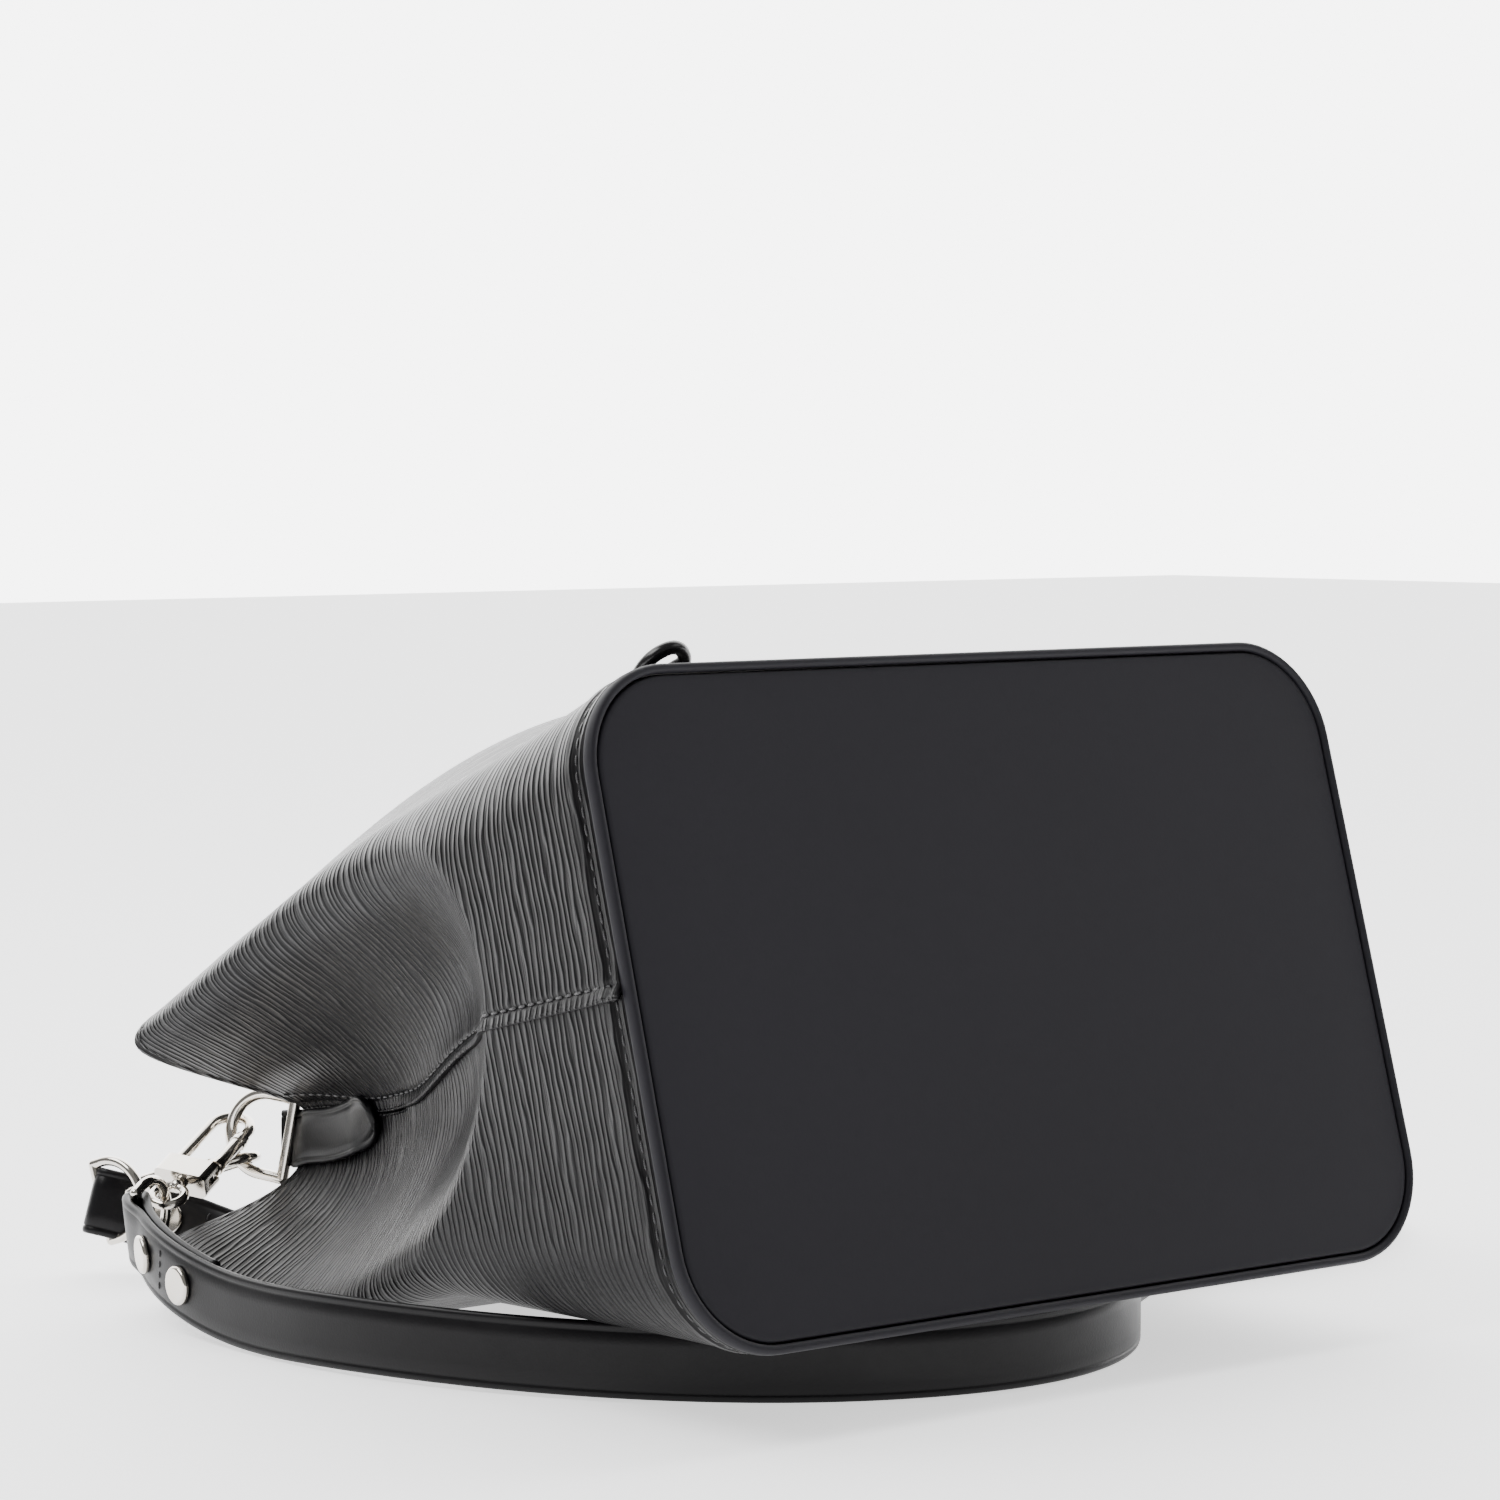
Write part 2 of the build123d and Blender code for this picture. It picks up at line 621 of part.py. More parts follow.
slider_plane = Plane(origin=(-ZIP_HALF + 4, zip_mid.Y, zip_mid.Z + 0.05), x_dir=(1, 0, 0), z_dir=(0, 0, 1))
slider = Pos(0, 0, 1.5) * Box(10, 8, 3.0)
slider = fillet(slider.edges().filter_by(Axis.Z), 1.5)
slider = slider - Pos(0, 0, 0.5) * Box(12, 3.4, 1.7)
for y in (-2.4, 2.4):
    ear = Pos(0, y, 4.4) * Box(4.0, 1.4, 3.6)
    slider = slider + ear
slider = slider + Pos(0, 0, 4.8) * Cylinder(0.8, 6.0, rotation=(90, 0, 0))
parts["zip_slider"] = (slider_plane * slider).solids()[0]
pull = Pos(0, 0, 0) * Cylinder(1.7, 3.0, rotation=(90, 0, 0))
pull = pull + Pos(9, 0, 0) * Box(18, 3.0, 1.2)
pull = pull + Pos(23, 0, 0) * Box(14, 7.0, 1.2)
pull = pull - Cylinder(0.8 + RUN_GAP, 10, rotation=(90, 0, 0))
parts["zip_pull"] = (slider_plane * Pos(0, 0, 4.8) * pull).solids()[0]
anchors["zip_pin"] = slider_plane.from_local_coords(Vector(0, 0, 4.8))


# Drawstring: runs inside the lining and comes out at the top as a small arch
CORD_T = 0.56
ARCH_TOP = wall_xyz(CORD_T, 1, 1.0)
CORD_INSET = SKIN + CORD_RADIUS + 2.1
hole_tool = None
for sign in (-1, 1):
    drill = Pos(sign * ARCH_HALF, ARCH_TOP.Y, ARCH_TOP.Z) * Cylinder(CORD_RADIUS + 0.25, 16)
    for key in ("front_panel", "front_lining"):
        parts[key] = (parts[key] - drill).solids()[0]
fractions = [0.56, 0.64, 0.72, 0.8, 0.88, 0.94, 1.0]
left_run = [wall_point(CORD_T, 1, d, CORD_INSET) for d in fractions]
run_points = left_run + [mirrored(p) for p in reversed(left_run[:-1])]
run_path = Spline(*run_points)
run = sweep(Plane(origin=run_path @ 0, z_dir=run_path % 0) * Circle(CORD_RADIUS), path=run_path)
foot_y = run_points[6].Y
parts["drawstring_run"] = run.solids()[0]
foot_z = ARCH_TOP.Z - CORD_INSET + CORD_RADIUS + 0.3
bow_z = ARCH_TOP.Z + ARCH_HEIGHT - ARCH_HALF - CORD_RADIUS
bow = revolve(Plane.XZ * Pos(-ARCH_HALF, 0, 0) * Circle(CORD_RADIUS), Axis.Z, 180)
arch = Pos(0, 0, bow_z - foot_z) * Rot(90, 0, 0) * Rot(0, 0, 180) * bow
for sign in (-1, 1):
    arch = arch + Pos(sign * ARCH_HALF, 0, (bow_z - foot_z) / 2) * Cylinder(CORD_RADIUS, bow_z - foot_z)
parts["drawstring_arch"] = (Pos(0, ARCH_TOP.Y, foot_z) * arch).solids()[0]
print("arch", ARCH_TOP, "run middle", run_points[6], "skin", SKIN)

# Row frame: origin under the middle of the whole object, on the floor
boxes = [solid.bounding_box() for solid in parts.values()]
low_x = min(box.min.X for box in boxes)
high_x = max(box.max.X for box in boxes)
low_y = min(box.min.Y for box in boxes)
high_y = max(box.max.Y for box in boxes)
low_z = min(box.min.Z for box in boxes)
shift = Vector(-(low_x + high_x) / 2, -(low_y + high_y) / 2, -low_z)
anchors["shift"] = shift
anchors["tab_mid"] = tab_mid
anchors["ring_axis"] = ring_axis
anchors["ring_reach"] = ring_reach
anchors["base_mid"] = base_mid
anchors["base_rim_point"] = base_plane.from_local_coords(
    Vector(0, RIM_WIDTH / 2 - BASE_DEPTH / 2, BASE_THICK + 0.5)
)
for name, value in anchors.items():
    print("anchor", name, round(value.X, 5), round(value.Y, 5), round(value.Z, 5))
for name, solid in parts.items():
    if solid.volume < 0 or not solid.is_valid:
        print("check", name, solid.volume, solid.is_valid)
    export_step(Pos(*shift) * solid, f"parts/{name}.step")
print("nodes", len(parts), "size", high_x - low_x, high_y - low_y, max(box.max.Z for box in boxes) - low_z)
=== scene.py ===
import math

import bmesh
import bpy
import numpy as np
from mathutils import Matrix, Vector


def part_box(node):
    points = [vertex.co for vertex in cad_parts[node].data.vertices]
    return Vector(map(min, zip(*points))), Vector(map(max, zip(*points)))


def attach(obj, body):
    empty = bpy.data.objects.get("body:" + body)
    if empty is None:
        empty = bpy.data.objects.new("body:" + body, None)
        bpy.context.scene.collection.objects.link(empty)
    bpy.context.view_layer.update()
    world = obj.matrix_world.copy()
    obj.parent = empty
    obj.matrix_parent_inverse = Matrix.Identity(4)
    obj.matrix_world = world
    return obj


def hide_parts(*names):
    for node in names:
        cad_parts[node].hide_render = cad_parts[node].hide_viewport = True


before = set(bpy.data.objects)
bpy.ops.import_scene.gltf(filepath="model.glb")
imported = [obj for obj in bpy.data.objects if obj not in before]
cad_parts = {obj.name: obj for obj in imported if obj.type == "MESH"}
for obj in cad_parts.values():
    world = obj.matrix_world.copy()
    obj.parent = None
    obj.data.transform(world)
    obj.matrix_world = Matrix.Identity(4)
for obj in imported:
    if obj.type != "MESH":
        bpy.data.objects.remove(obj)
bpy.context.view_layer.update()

# ---------------------------------------------------------------- Floor, light and camera
# A white acrylic table lit from below, two large soft boxes and a room that is bright on one side.
# The camera stands low in front of the base's left corner.


def hex_colour(code):
    """An sRGB hex value as the linear colour that a shader socket takes."""
    parts = [int(code[i:i + 2], 16) / 255 for i in (1, 3, 5)]
    linear = [c / 12.92 if c <= 0.04045 else ((c + 0.055) / 1.055) ** 2.4 for c in parts]
    return (*linear, 1.0)


def node(tree, kind, settings=None, **links):
    """Adds one node. Settings are its properties, links its inputs: a value or another node's output."""
    made = tree.nodes.new(kind)
    for key, value in (settings or {}).items():
        setattr(made, key, value)
    for key, value in links.items():
        key = key.replace("_", " ")
        socket = made.inputs[int(key[1:])] if key[0] == "i" and key[1:].isdigit() else made.inputs[key]
        if isinstance(value, bpy.types.NodeSocket):
            tree.links.new(value, socket)
        else:
            socket.default_value = value
    return made


def new_material(name):
    made = bpy.data.materials.new(name)
    made.use_nodes = True
    made.node_tree.nodes.clear()
    return made, made.node_tree


# Light table: white acrylic lit from below, so that shadows stay faint.
floor_paint, tree = new_material("lit_white_acrylic_table")
shader = node(tree, "ShaderNodeBsdfPrincipled", Base_Color=hex_colour("#F6F6F7"), Roughness=0.7)
shader.inputs["Specular IOR Level"].default_value = 0.1
shader.inputs["Emission Color"].default_value = hex_colour("#FFFFFF")
shader.inputs["Emission Strength"].default_value = 1.1
node(tree, "ShaderNodeOutputMaterial", Surface=shader.outputs[0])

floor_mesh = bpy.data.meshes.new("studio_floor")
TABLE_HALF, TABLE_DROP = 6.0, -0.0006
floor_mesh.from_pydata(
    [(x * TABLE_HALF, y * TABLE_HALF, TABLE_DROP) for x, y in ((-1, -1), (1, -1), (1, 1), (-1, 1))],
    [],
    [(0, 1, 2, 3)],
)
floor = bpy.data.objects.new("studio_floor", floor_mesh)
bpy.context.collection.objects.link(floor)
floor.data.materials.append(floor_paint)

world = bpy.data.worlds.new("white_room")
bpy.context.scene.world = world
world.use_nodes = True
tree = world.node_tree
tree.nodes["Background"].inputs["Color"].default_value = (1, 1, 1, 1)
towards = node(tree, "ShaderNodeTexCoord")
facing = node(tree, "ShaderNodeVectorMath", {"operation": "DOT_PRODUCT"}, i0=towards.outputs["Generated"])
facing.inputs[1].default_value = (0.6, 0.74, 0.3)
fall = node(
    tree, "ShaderNodeMapRange", {"interpolation_type": "SMOOTHSTEP"}, Value=facing.outputs["Value"],
    From_Min=0.3, From_Max=0.86, To_Min=0.26, To_Max=6.5,
)
tree.links.new(fall.outputs[0], tree.nodes["Background"].inputs["Strength"])


def soft_box(name, place, target, width, height, power):
    lamp = bpy.data.lights.new(name, "AREA")
    lamp.shape = "RECTANGLE"
    lamp.size = width
    lamp.size_y = height
    lamp.energy = power
    holder = bpy.data.objects.new(name, lamp)
    bpy.context.collection.objects.link(holder)
    holder.location = place
    holder.rotation_euler = (Vector(target) - Vector(place)).to_track_quat("-Z", "Y").to_euler()


soft_box("box_above_left", (-1.1, 0.35, 1.5), (0, 0, 0.08), 1.3, 0.8, 26)
soft_box("box_front_right", (1.0, -1.4, 1.2), (0, -0.1, 0.1), 1.1, 0.9, 5)

camera_data = bpy.data.cameras.new("camera")
camera = bpy.data.objects.new("camera", camera_data)
bpy.context.collection.objects.link(camera)
azimuth, elevation, roll = math.radians(-38.99), math.radians(3.557), math.radians(-0.138)
back = Vector((
    math.sin(azimuth) * math.cos(elevation),
    -math.cos(azimuth) * math.cos(elevation),
    math.sin(elevation),
))
camera.location = (-0.8764, -1.0638, 0.2401)
camera.rotation_mode = "QUATERNION"
level = (-back).to_track_quat("-Z", "Y")
camera.rotation_quaternion = level @ Matrix.Rotation(roll, 3, "Z").to_quaternion()
camera_data.lens = 111.06
camera_data.sensor_width = 36
camera_data.clip_end = 50
bpy.context.scene.camera = camera

# ---------------------------------------------------------------- Ribbed leather walls
# Two panels of calf leather with an embossed wavy rib that runs round the bag, joined at
# the sides with the front panel lapped over the back one. As the bag lies, the stiff base
# holds the foot of the wall open and the sides fold inwards towards the mouth.

BASE_WIDTH, BASE_DEPTH, BASE_TILT = 260.0, 175.0, math.radians(16.0)
WALL_FOOT, FLOOR_GAP, CORNER = 3.3, 20.4, 28.0
LOWER_LIP, UPPER_LIP, UPPER_LIP_RISE = 268.0, 275.0, 76.0
FOLD_IN, FOLD_BACK, HOLLOW = 46.0, 22.0, 7.0
# The model's own zero, in mm of the row: the rim's box starts a little in front of it and over it.
RIM_AHEAD, RIM_RISE = 0.257, 20.496
rim_low, rim_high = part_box("base_rim")
origin = np.array([
    (rim_low[0] + rim_high[0]) / 2 * 1000,
    rim_low[1] * 1000 + RIM_AHEAD,
    rim_low[2] * 1000 - RIM_RISE,
])


def soft_step(v):
    v = np.clip(v, 0, 1)
    return v * v * (3 - 2 * v)


def outline(t):
    """Outline at a height: y and z of foot and top, half height, seam offset, half width, corner radius."""
    yl = WALL_FOOT + (LOWER_LIP - WALL_FOOT) * t
    zl = FLOOR_GAP - (FLOOR_GAP - 3.4) * soft_step((yl - 112) / 75) + 11 * soft_step((yl - 205) / 63)
    yu = WALL_FOOT + BASE_DEPTH * math.sin(BASE_TILT)
    zu = FLOOR_GAP + BASE_DEPTH * math.cos(BASE_TILT)
    yu, zu = yu + (UPPER_LIP - yu) * t, zu + (UPPER_LIP_RISE - zu) * t
    h = np.hypot(yu - yl, zu - zl) / 2
    seam = 5.0 + 3 * soft_step((t - 0.5) / 0.5)
    a = BASE_WIDTH / 2 - 8.0 * soft_step((t - 0.45) / 0.55)
    r = CORNER - 20.0 * soft_step(t / 0.9)
    return yl, zl, yu, zu, h, seam, a, r


def wall(t, side, d):
    """Outer face of the wall in mm. t: base 0 to mouth 1, side: 1 upper, -1 lower, d: seam 0 to middle 1."""
    t, d = np.broadcast_arrays(np.asarray(t, float), np.asarray(d, float))
    yl, zl, yu, zu, h, seam, a, r = outline(t)
    dy, dz = (yu - yl) / (2 * h), (zu - zl) / (2 * h)
    ym, zm = (yl + yu) / 2 + dy * seam, (zl + zu) / 2 + dz * seam
    reach = h - side * seam
    straight = reach - r
    arc = math.pi / 2 * r
    run = d * (straight + arc + a - r)
    q = np.clip((run - straight) / r, 0, math.pi / 2)
    past = run >= straight + arc
    x = np.where(run < straight, -a, np.where(past, -a + r + run - straight - arc, -a + r - r * np.cos(q)))
    v = np.where(run < straight, run, np.where(past, reach, straight + r * np.sin(q)))
    w = v / reach
    late = soft_step((t - 0.6) / 0.4)
    if side > 0:
        shape = (1 - w * w) * np.clip(1 - w, 0, 1) ** (1.1 * late)
    else:
        shape = 1 - w ** (2 + 1.5 * late)
    start = 86.0 + 48 * w * w
    f = np.clip((ym + side * dy * v - start) / (262.0 - start), 0, 1)
    fold = (1 - (1 - f) ** 2) * shape * (1 - np.clip((x + a) / a, 0, 1)) ** 3
    spread = ((f - 0.24) / 0.17) ** 2 + ((w - 0.3) / 0.42) ** 2 + ((x + a) / 60) ** 2
    dent = HOLLOW * np.exp(-spread) * soft_step(f / 0.1)
    mid = np.clip(1 - (x / a) ** 2, 0, 1)
    if side > 0:
        v = v + 52.0 * soft_step(t / 0.7) * mid ** 1.3 * soft_step(w / 0.9)
    else:
        v = v + 10 * soft_step((t - 0.76) / 0.24) * mid * soft_step(w / 0.9)
    x = x + FOLD_IN * fold + dent
    y = ym + side * dy * v - FOLD_BACK * fold * fold
    return np.stack([x, y, zm + side * dz * v], -1)


def outward(t, side, d):
    """Unit normal of the wall, pointing out of the bag."""
    along = wall(t, side, np.minimum(d + 0.004, 1)) - wall(t, side, np.maximum(d - 0.004, 0))
    up = wall(np.minimum(np.asarray(t) + 0.01, 1.04), side, d) - wall(np.asarray(t) - 0.01, side, d)
    n = np.cross(along, up) * side
    return n / np.linalg.norm(n, axis=-1, keepdims=True)


def seam_share(t, side, mm):
    """Share of the outline that lies mm from the side seam."""
    *_, h, seam, a, r = outline(np.asarray(t, float))
    return mm / (h - side * seam - r + math.pi / 2 * r + a - r)


def to_row(points):
    """Model mm to metres in the row's frame."""
    return (np.asarray(points) + origin) / 1000


def link_mesh(name, points, faces, uv=None, materials=(), smooth=True):
    mesh = bpy.data.meshes.new(name)
    mesh.from_pydata([tuple(p) for p in points], [], faces)
    if uv is not None:
        layer = mesh.uv_layers.new(name="surface_m")
        loop_vertex = np.empty(len(mesh.loops), int)
        mesh.loops.foreach_get("vertex_index", loop_vertex)
        layer.data.foreach_set("uv", np.asarray(uv, float)[loop_vertex].ravel())
    mesh.polygons.foreach_set("use_smooth", [smooth] * len(mesh.polygons))
    made = bpy.data.objects.new(name, mesh)
    bpy.context.collection.objects.link(made)
    for material in materials:
        made.data.materials.append(material)
    return made


def grid_faces(rows, columns, flip=False):
    faces = []
    for i in range(rows - 1):
        for j in range(columns - 1):
            quad = (i * columns + j, i * columns + j + 1, (i + 1) * columns + j + 1, (i + 1) * columns + j)
            faces.append(tuple(reversed(quad)) if flip else quad)
    return faces


def apply_modifiers(piece):
    done = bpy.data.meshes.new_from_object(piece.evaluated_get(bpy.context.evaluated_depsgraph_get()))
    piece.modifiers.clear()
    piece.data = done
    return piece


# Embossed calf leather: plated with wavy ribs 2.45 mm apart, then dyed black and polished. Each rib's thin
# bright line is partly real polish, a lower roughness on the crest, and partly a painted highlight: the
# colour is lighter on the crests, and darker in the grooves as painted shade. The ribs are bump only, because
# they are fine and many.
ribbed_leather, tree = new_material("embossed_ribbed_calf_leather")
uv = node(tree, "ShaderNodeUVMap", {"uv_map": "surface_m"})
split = node(tree, "ShaderNodeSeparateXYZ", Vector=uv.outputs[0])
around = node(tree, "ShaderNodeMath", {"operation": "MULTIPLY"}, i0=split.outputs[0], i1=1000 / 26.0)
upward = node(tree, "ShaderNodeMath", {"operation": "MULTIPLY"}, i0=split.outputs[1], i1=1000 / 7.0)
drift_at = node(tree, "ShaderNodeCombineXYZ", X=around.outputs[0], Y=upward.outputs[0])
drift = node(
    tree, "ShaderNodeTexNoise", Vector=drift_at.outputs[0], Scale=1.0, Detail=2.0, Roughness=0.5,
)
RIB_PITCH = 2.45
per_metre = 2 * math.pi * 1000 / RIB_PITCH
turns = node(tree, "ShaderNodeMath", {"operation": "MULTIPLY"}, i0=split.outputs[1], i1=per_metre)
waved = node(
    tree, "ShaderNodeMath", {"operation": "MULTIPLY_ADD"},
    i0=drift.outputs["Fac"], i1=13.0, i2=turns.outputs[0],
)
rib = node(tree, "ShaderNodeMath", {"operation": "SINE"}, i0=waved.outputs[0])
fine_at = node(tree, "ShaderNodeCombineXYZ", X=around.outputs[0], Y=turns.outputs[0])
fine = node(tree, "ShaderNodeTexNoise", Vector=fine_at.outputs[0], Scale=0.55, Detail=3.0, Roughness=0.6)
lifted = node(tree, "ShaderNodeMath", {"operation": "MULTIPLY_ADD"}, i0=rib.outputs[0], i1=0.5, i2=0.5)
crest = node(tree, "ShaderNodeMath", {"operation": "POWER"}, i0=lifted.outputs[0], i1=2.2)
height = node(
    tree, "ShaderNodeMath", {"operation": "MULTIPLY_ADD"},
    i0=fine.outputs["Fac"], i1=0.5, i2=crest.outputs[0],
)
grain = node(tree, "ShaderNodeTexCoord")
pores = node(tree, "ShaderNodeTexNoise", Vector=grain.outputs["Object"], Scale=2400.0, Detail=2.0)
pored = node(
    tree, "ShaderNodeMath", {"operation": "MULTIPLY_ADD"},
    i0=pores.outputs["Fac"], i1=0.05, i2=height.outputs[0],
)
bump = node(tree, "ShaderNodeBump", Height=pored.outputs[0], Strength=0.75, Distance=0.00045)
shade = node(
    tree, "ShaderNodeMapRange", Value=height.outputs[0], From_Min=0.0, From_Max=1.5, To_Min=0.42, To_Max=0.25,
)
# Painted highlight and painted shade: the colour is lighter on the rib crests and darker in the grooves
# between them.
tone = node(tree, "ShaderNodeMix", {"data_type": "RGBA"}, Factor=height.outputs[0])
tone.inputs[6].default_value = hex_colour("#040304")
tone.inputs[7].default_value = hex_colour("#0B0A0C")
shader = node(
    tree, "ShaderNodeBsdfPrincipled", Base_Color=tone.outputs[2], Roughness=shade.outputs[0],
    IOR=1.5, Normal=bump.outputs[0],
)
shader.inputs["Specular IOR Level"].default_value = 0.15
node(tree, "ShaderNodeOutputMaterial", Surface=shader.outputs[0])

# Edge paint: several coats of black acrylic paint on the cut edge, slightly rounded and satin.
edge_paint, tree = new_material("acrylic_edge_paint")
place = node(tree, "ShaderNodeTexCoord")
ripple = node(tree, "ShaderNodeTexNoise", Vector=place.outputs["Object"], Scale=700.0, Detail=2.0)
bump = node(tree, "ShaderNodeBump", Height=ripple.outputs["Fac"], Strength=0.3, Distance=0.0002)
shader = node(
    tree, "ShaderNodeBsdfPrincipled",
    Base_Color=hex_colour("#121113"), Roughness=0.38, Normal=bump.outputs[0],
)
node(tree, "ShaderNodeOutputMaterial", Surface=shader.outputs[0])

# The grid is closer near the base, the lip and the side seam, where the stitch grooves run.
HALF = 118
LAP, STITCH_EDGE = 1.0, 2.9
near_base, near_lip, near_seam = 0.028, 0.976, 0.035
t_line = np.concatenate([
    np.linspace(0, near_base, 17)[:-1],
    np.linspace(near_base, near_lip, 104)[:-1],
    np.linspace(near_lip, 1, 14),
])[:, None]
left_share = np.concatenate([
    np.linspace(0, near_seam, 15)[:-1],
    np.linspace(near_seam, 1, HALF - 14),
])[None, :]


def panel_points(side, lapped):
    """Grid of outer points in mm for both halves, with the stitch grooves and the lapped seam pressed in."""
    points = wall(t_line, side, left_share)
    normal = outward(t_line, side, left_share)
    from_base = np.linalg.norm(points - points[:1], axis=-1, keepdims=True)
    from_lip = np.linalg.norm(points - points[-1:], axis=-1, keepdims=True)
    from_seam = np.linalg.norm(points - points[:, :1], axis=-1, keepdims=True)
    points = points - normal * 0.55 * np.exp(-(((from_base - STITCH_EDGE) / 0.9) ** 2))
    points = points + normal * 0.45 * np.exp(-(((from_base - 6.4) / 1.8) ** 2))
    points = points - normal * 0.3 * np.exp(-(((from_lip - STITCH_EDGE) / 0.8) ** 2))
    if lapped:
        points = points - normal * 0.5 * np.exp(-(((from_seam - STITCH_EDGE) / 0.9) ** 2))
        lift = 1.3 + 1.5 * np.exp(-from_base / 7.0)
        points = points + normal * lift * np.exp(-from_seam / 3.0)
        strip, turned = [], []
        for mm in (LAP, LAP * 0.66, LAP * 0.33):
            share = seam_share(t_line, -side, mm)
            strip.append(wall(t_line, -side, share) + outward(t_line, -side, share) * lift[:, 0:1])
        points = np.concatenate([*strip, points], axis=1)
    mirrored = points[:, ::-1][:, 1:] * np.array([-1, 1, 1])
    return np.concatenate([points, mirrored], axis=1)


def leather_uv(points):
    step = np.linalg.norm(np.diff(points, axis=1), axis=-1)
    u = np.concatenate([np.zeros((len(points), 1)), np.cumsum(step, axis=1)], axis=1)
    u = u - u[:, -1:] / 2
    rise = np.linalg.norm(np.diff(points, axis=0), axis=-1)
    v = np.concatenate([np.zeros((1, points.shape[1])), np.cumsum(rise, axis=0)], axis=0)
    return np.stack([u, v], -1) / 1000


def make_panel(name, side, lapped):
    points = panel_points(side, lapped)
    rows, columns = points.shape[:2]
    piece = link_mesh(
        name, to_row(points.reshape(-1, 3)), grid_faces(rows, columns, flip=side < 0),
        leather_uv(points).reshape(-1, 2), (ribbed_leather, edge_paint),
    )
    shell = piece.modifiers.new("leather_thickness", "SOLIDIFY")
    shell.thickness = 0.0017
    shell.offset = -1
    shell.material_offset_rim = 1
    return apply_modifiers(piece)


front_leather = make_panel("front_leather", 1, True)
back_leather = make_panel("back_leather", -1, False)
for piece, cad_node in ((front_leather, "front_panel"), (back_leather, "back_panel")):
    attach(piece, "bag")
    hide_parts(cad_node)


# Seams: saddle stitches of waxed thread along the base, the side seams and the lip. Each
# stitch is a short thread that dips into its holes.

waxed_thread, tree = new_material("waxed_polyester_thread")
place = node(tree, "ShaderNodeTexCoord")
twist = node(
    tree, "ShaderNodeTexWave", {"bands_direction": "DIAGONAL"}, Vector=place.outputs["Object"], Scale=900.0,
)
bump = node(tree, "ShaderNodeBump", Height=twist.outputs["Fac"], Strength=0.4, Distance=0.0001)
shader = node(
    tree, "ShaderNodeBsdfPrincipled", Base_Color=hex_colour("#161517"), Roughness=0.3, Normal=bump.outputs[0],
)
node(tree, "ShaderNodeOutputMaterial", Surface=shader.outputs[0])


def repeat_group(name, kind_node, settings, size, jitter):
    """Geometry nodes that put one small solid on every point, turned to the point's two directions."""
    group = bpy.data.node_groups.new(name, "GeometryNodeTree")
    group.interface.new_socket("Geometry", in_out="INPUT", socket_type="NodeSocketGeometry")
    for label, value in (("Length", size[0]), ("Width", size[1]), ("Height", size[2]), ("Jitter", jitter)):
        group.interface.new_socket(label, in_out="INPUT", socket_type="NodeSocketFloat").default_value = value
    group.interface.new_socket("Material", in_out="INPUT", socket_type="NodeSocketMaterial")
    group.interface.new_socket("Geometry", in_out="OUTPUT", socket_type="NodeSocketGeometry")
    start = node(group, "NodeGroupInput")
    shape = node(group, kind_node, **settings)
    scale = node(
        group, "ShaderNodeCombineXYZ",
        X=start.outputs["Length"], Y=start.outputs["Width"], Z=start.outputs["Height"],
    )
    sized = node(group, "GeometryNodeTransform", Geometry=shape.outputs["Mesh"], Scale=scale.outputs[0])
    along = node(group, "GeometryNodeInputNamedAttribute", {"data_type": "FLOAT_VECTOR"}, Name="along")
    outer = node(group, "GeometryNodeInputNamedAttribute", {"data_type": "FLOAT_VECTOR"}, Name="outer")
    laid = node(group, "FunctionNodeAlignRotationToVector", {"axis": "X"}, Vector=along.outputs["Attribute"])
    turned = node(
        group, "FunctionNodeAlignRotationToVector", {"axis": "Z", "pivot_axis": "X"},
        Rotation=laid.outputs[0], Vector=outer.outputs["Attribute"],
    )
    least = node(group, "ShaderNodeMath", {"operation": "SUBTRACT"}, i0=1.0, i1=start.outputs["Jitter"])
    most = node(group, "ShaderNodeMath", {"operation": "ADD"}, i0=1.0, i1=start.outputs["Jitter"])
    vary = node(
        group, "FunctionNodeRandomValue", {"data_type": "FLOAT"},
        i2=least.outputs[0], i3=most.outputs[0], Seed=7,
    )
    placed = node(
        group, "GeometryNodeInstanceOnPoints", Points=start.outputs["Geometry"], Instance=sized.outputs[0],
        Rotation=turned.outputs[0], Scale=vary.outputs[1],
    )
    real = node(group, "GeometryNodeRealizeInstances", Geometry=placed.outputs[0])
    coloured = node(
        group, "GeometryNodeSetMaterial", Geometry=real.outputs[0], Material=start.outputs["Material"],
    )
    node(group, "NodeGroupOutput", Geometry=coloured.outputs[0])
    return group


stitch_group = repeat_group(
    "stitches", "GeometryNodeMeshUVSphere", {"Segments": 8, "Rings": 6, "Radius": 1.0},
    (0.0016, 0.00042, 0.00034), 0.08,
)


def repeat_on(name, group, places, along, outer, material, body="bag", sizes=None):
    """One object of copies at places (row metres), set along one direction and facing another."""
    mesh = bpy.data.meshes.new(name)
    mesh.from_pydata([tuple(p) for p in places], [], [])
    for label, values in (("along", along), ("outer", outer)):
        layer = mesh.attributes.new(label, "FLOAT_VECTOR", "POINT")
        layer.data.foreach_set("vector", np.asarray(values, float).ravel())
    piece = bpy.data.objects.new(name, mesh)
    bpy.context.collection.objects.link(piece)
    live = piece.modifiers.new("repeats", "NODES")
    live.node_group = group
    chosen = dict(sizes or {}, Material=material)
    for item in group.interface.items_tree:
        if item.in_out == "INPUT" and item.name in chosen:
            live[item.identifier] = chosen[item.name]
    apply_modifiers(piece)
    piece.data.polygons.foreach_set("use_smooth", [True] * len(piece.data.polygons))
    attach(piece, body)
    return piece


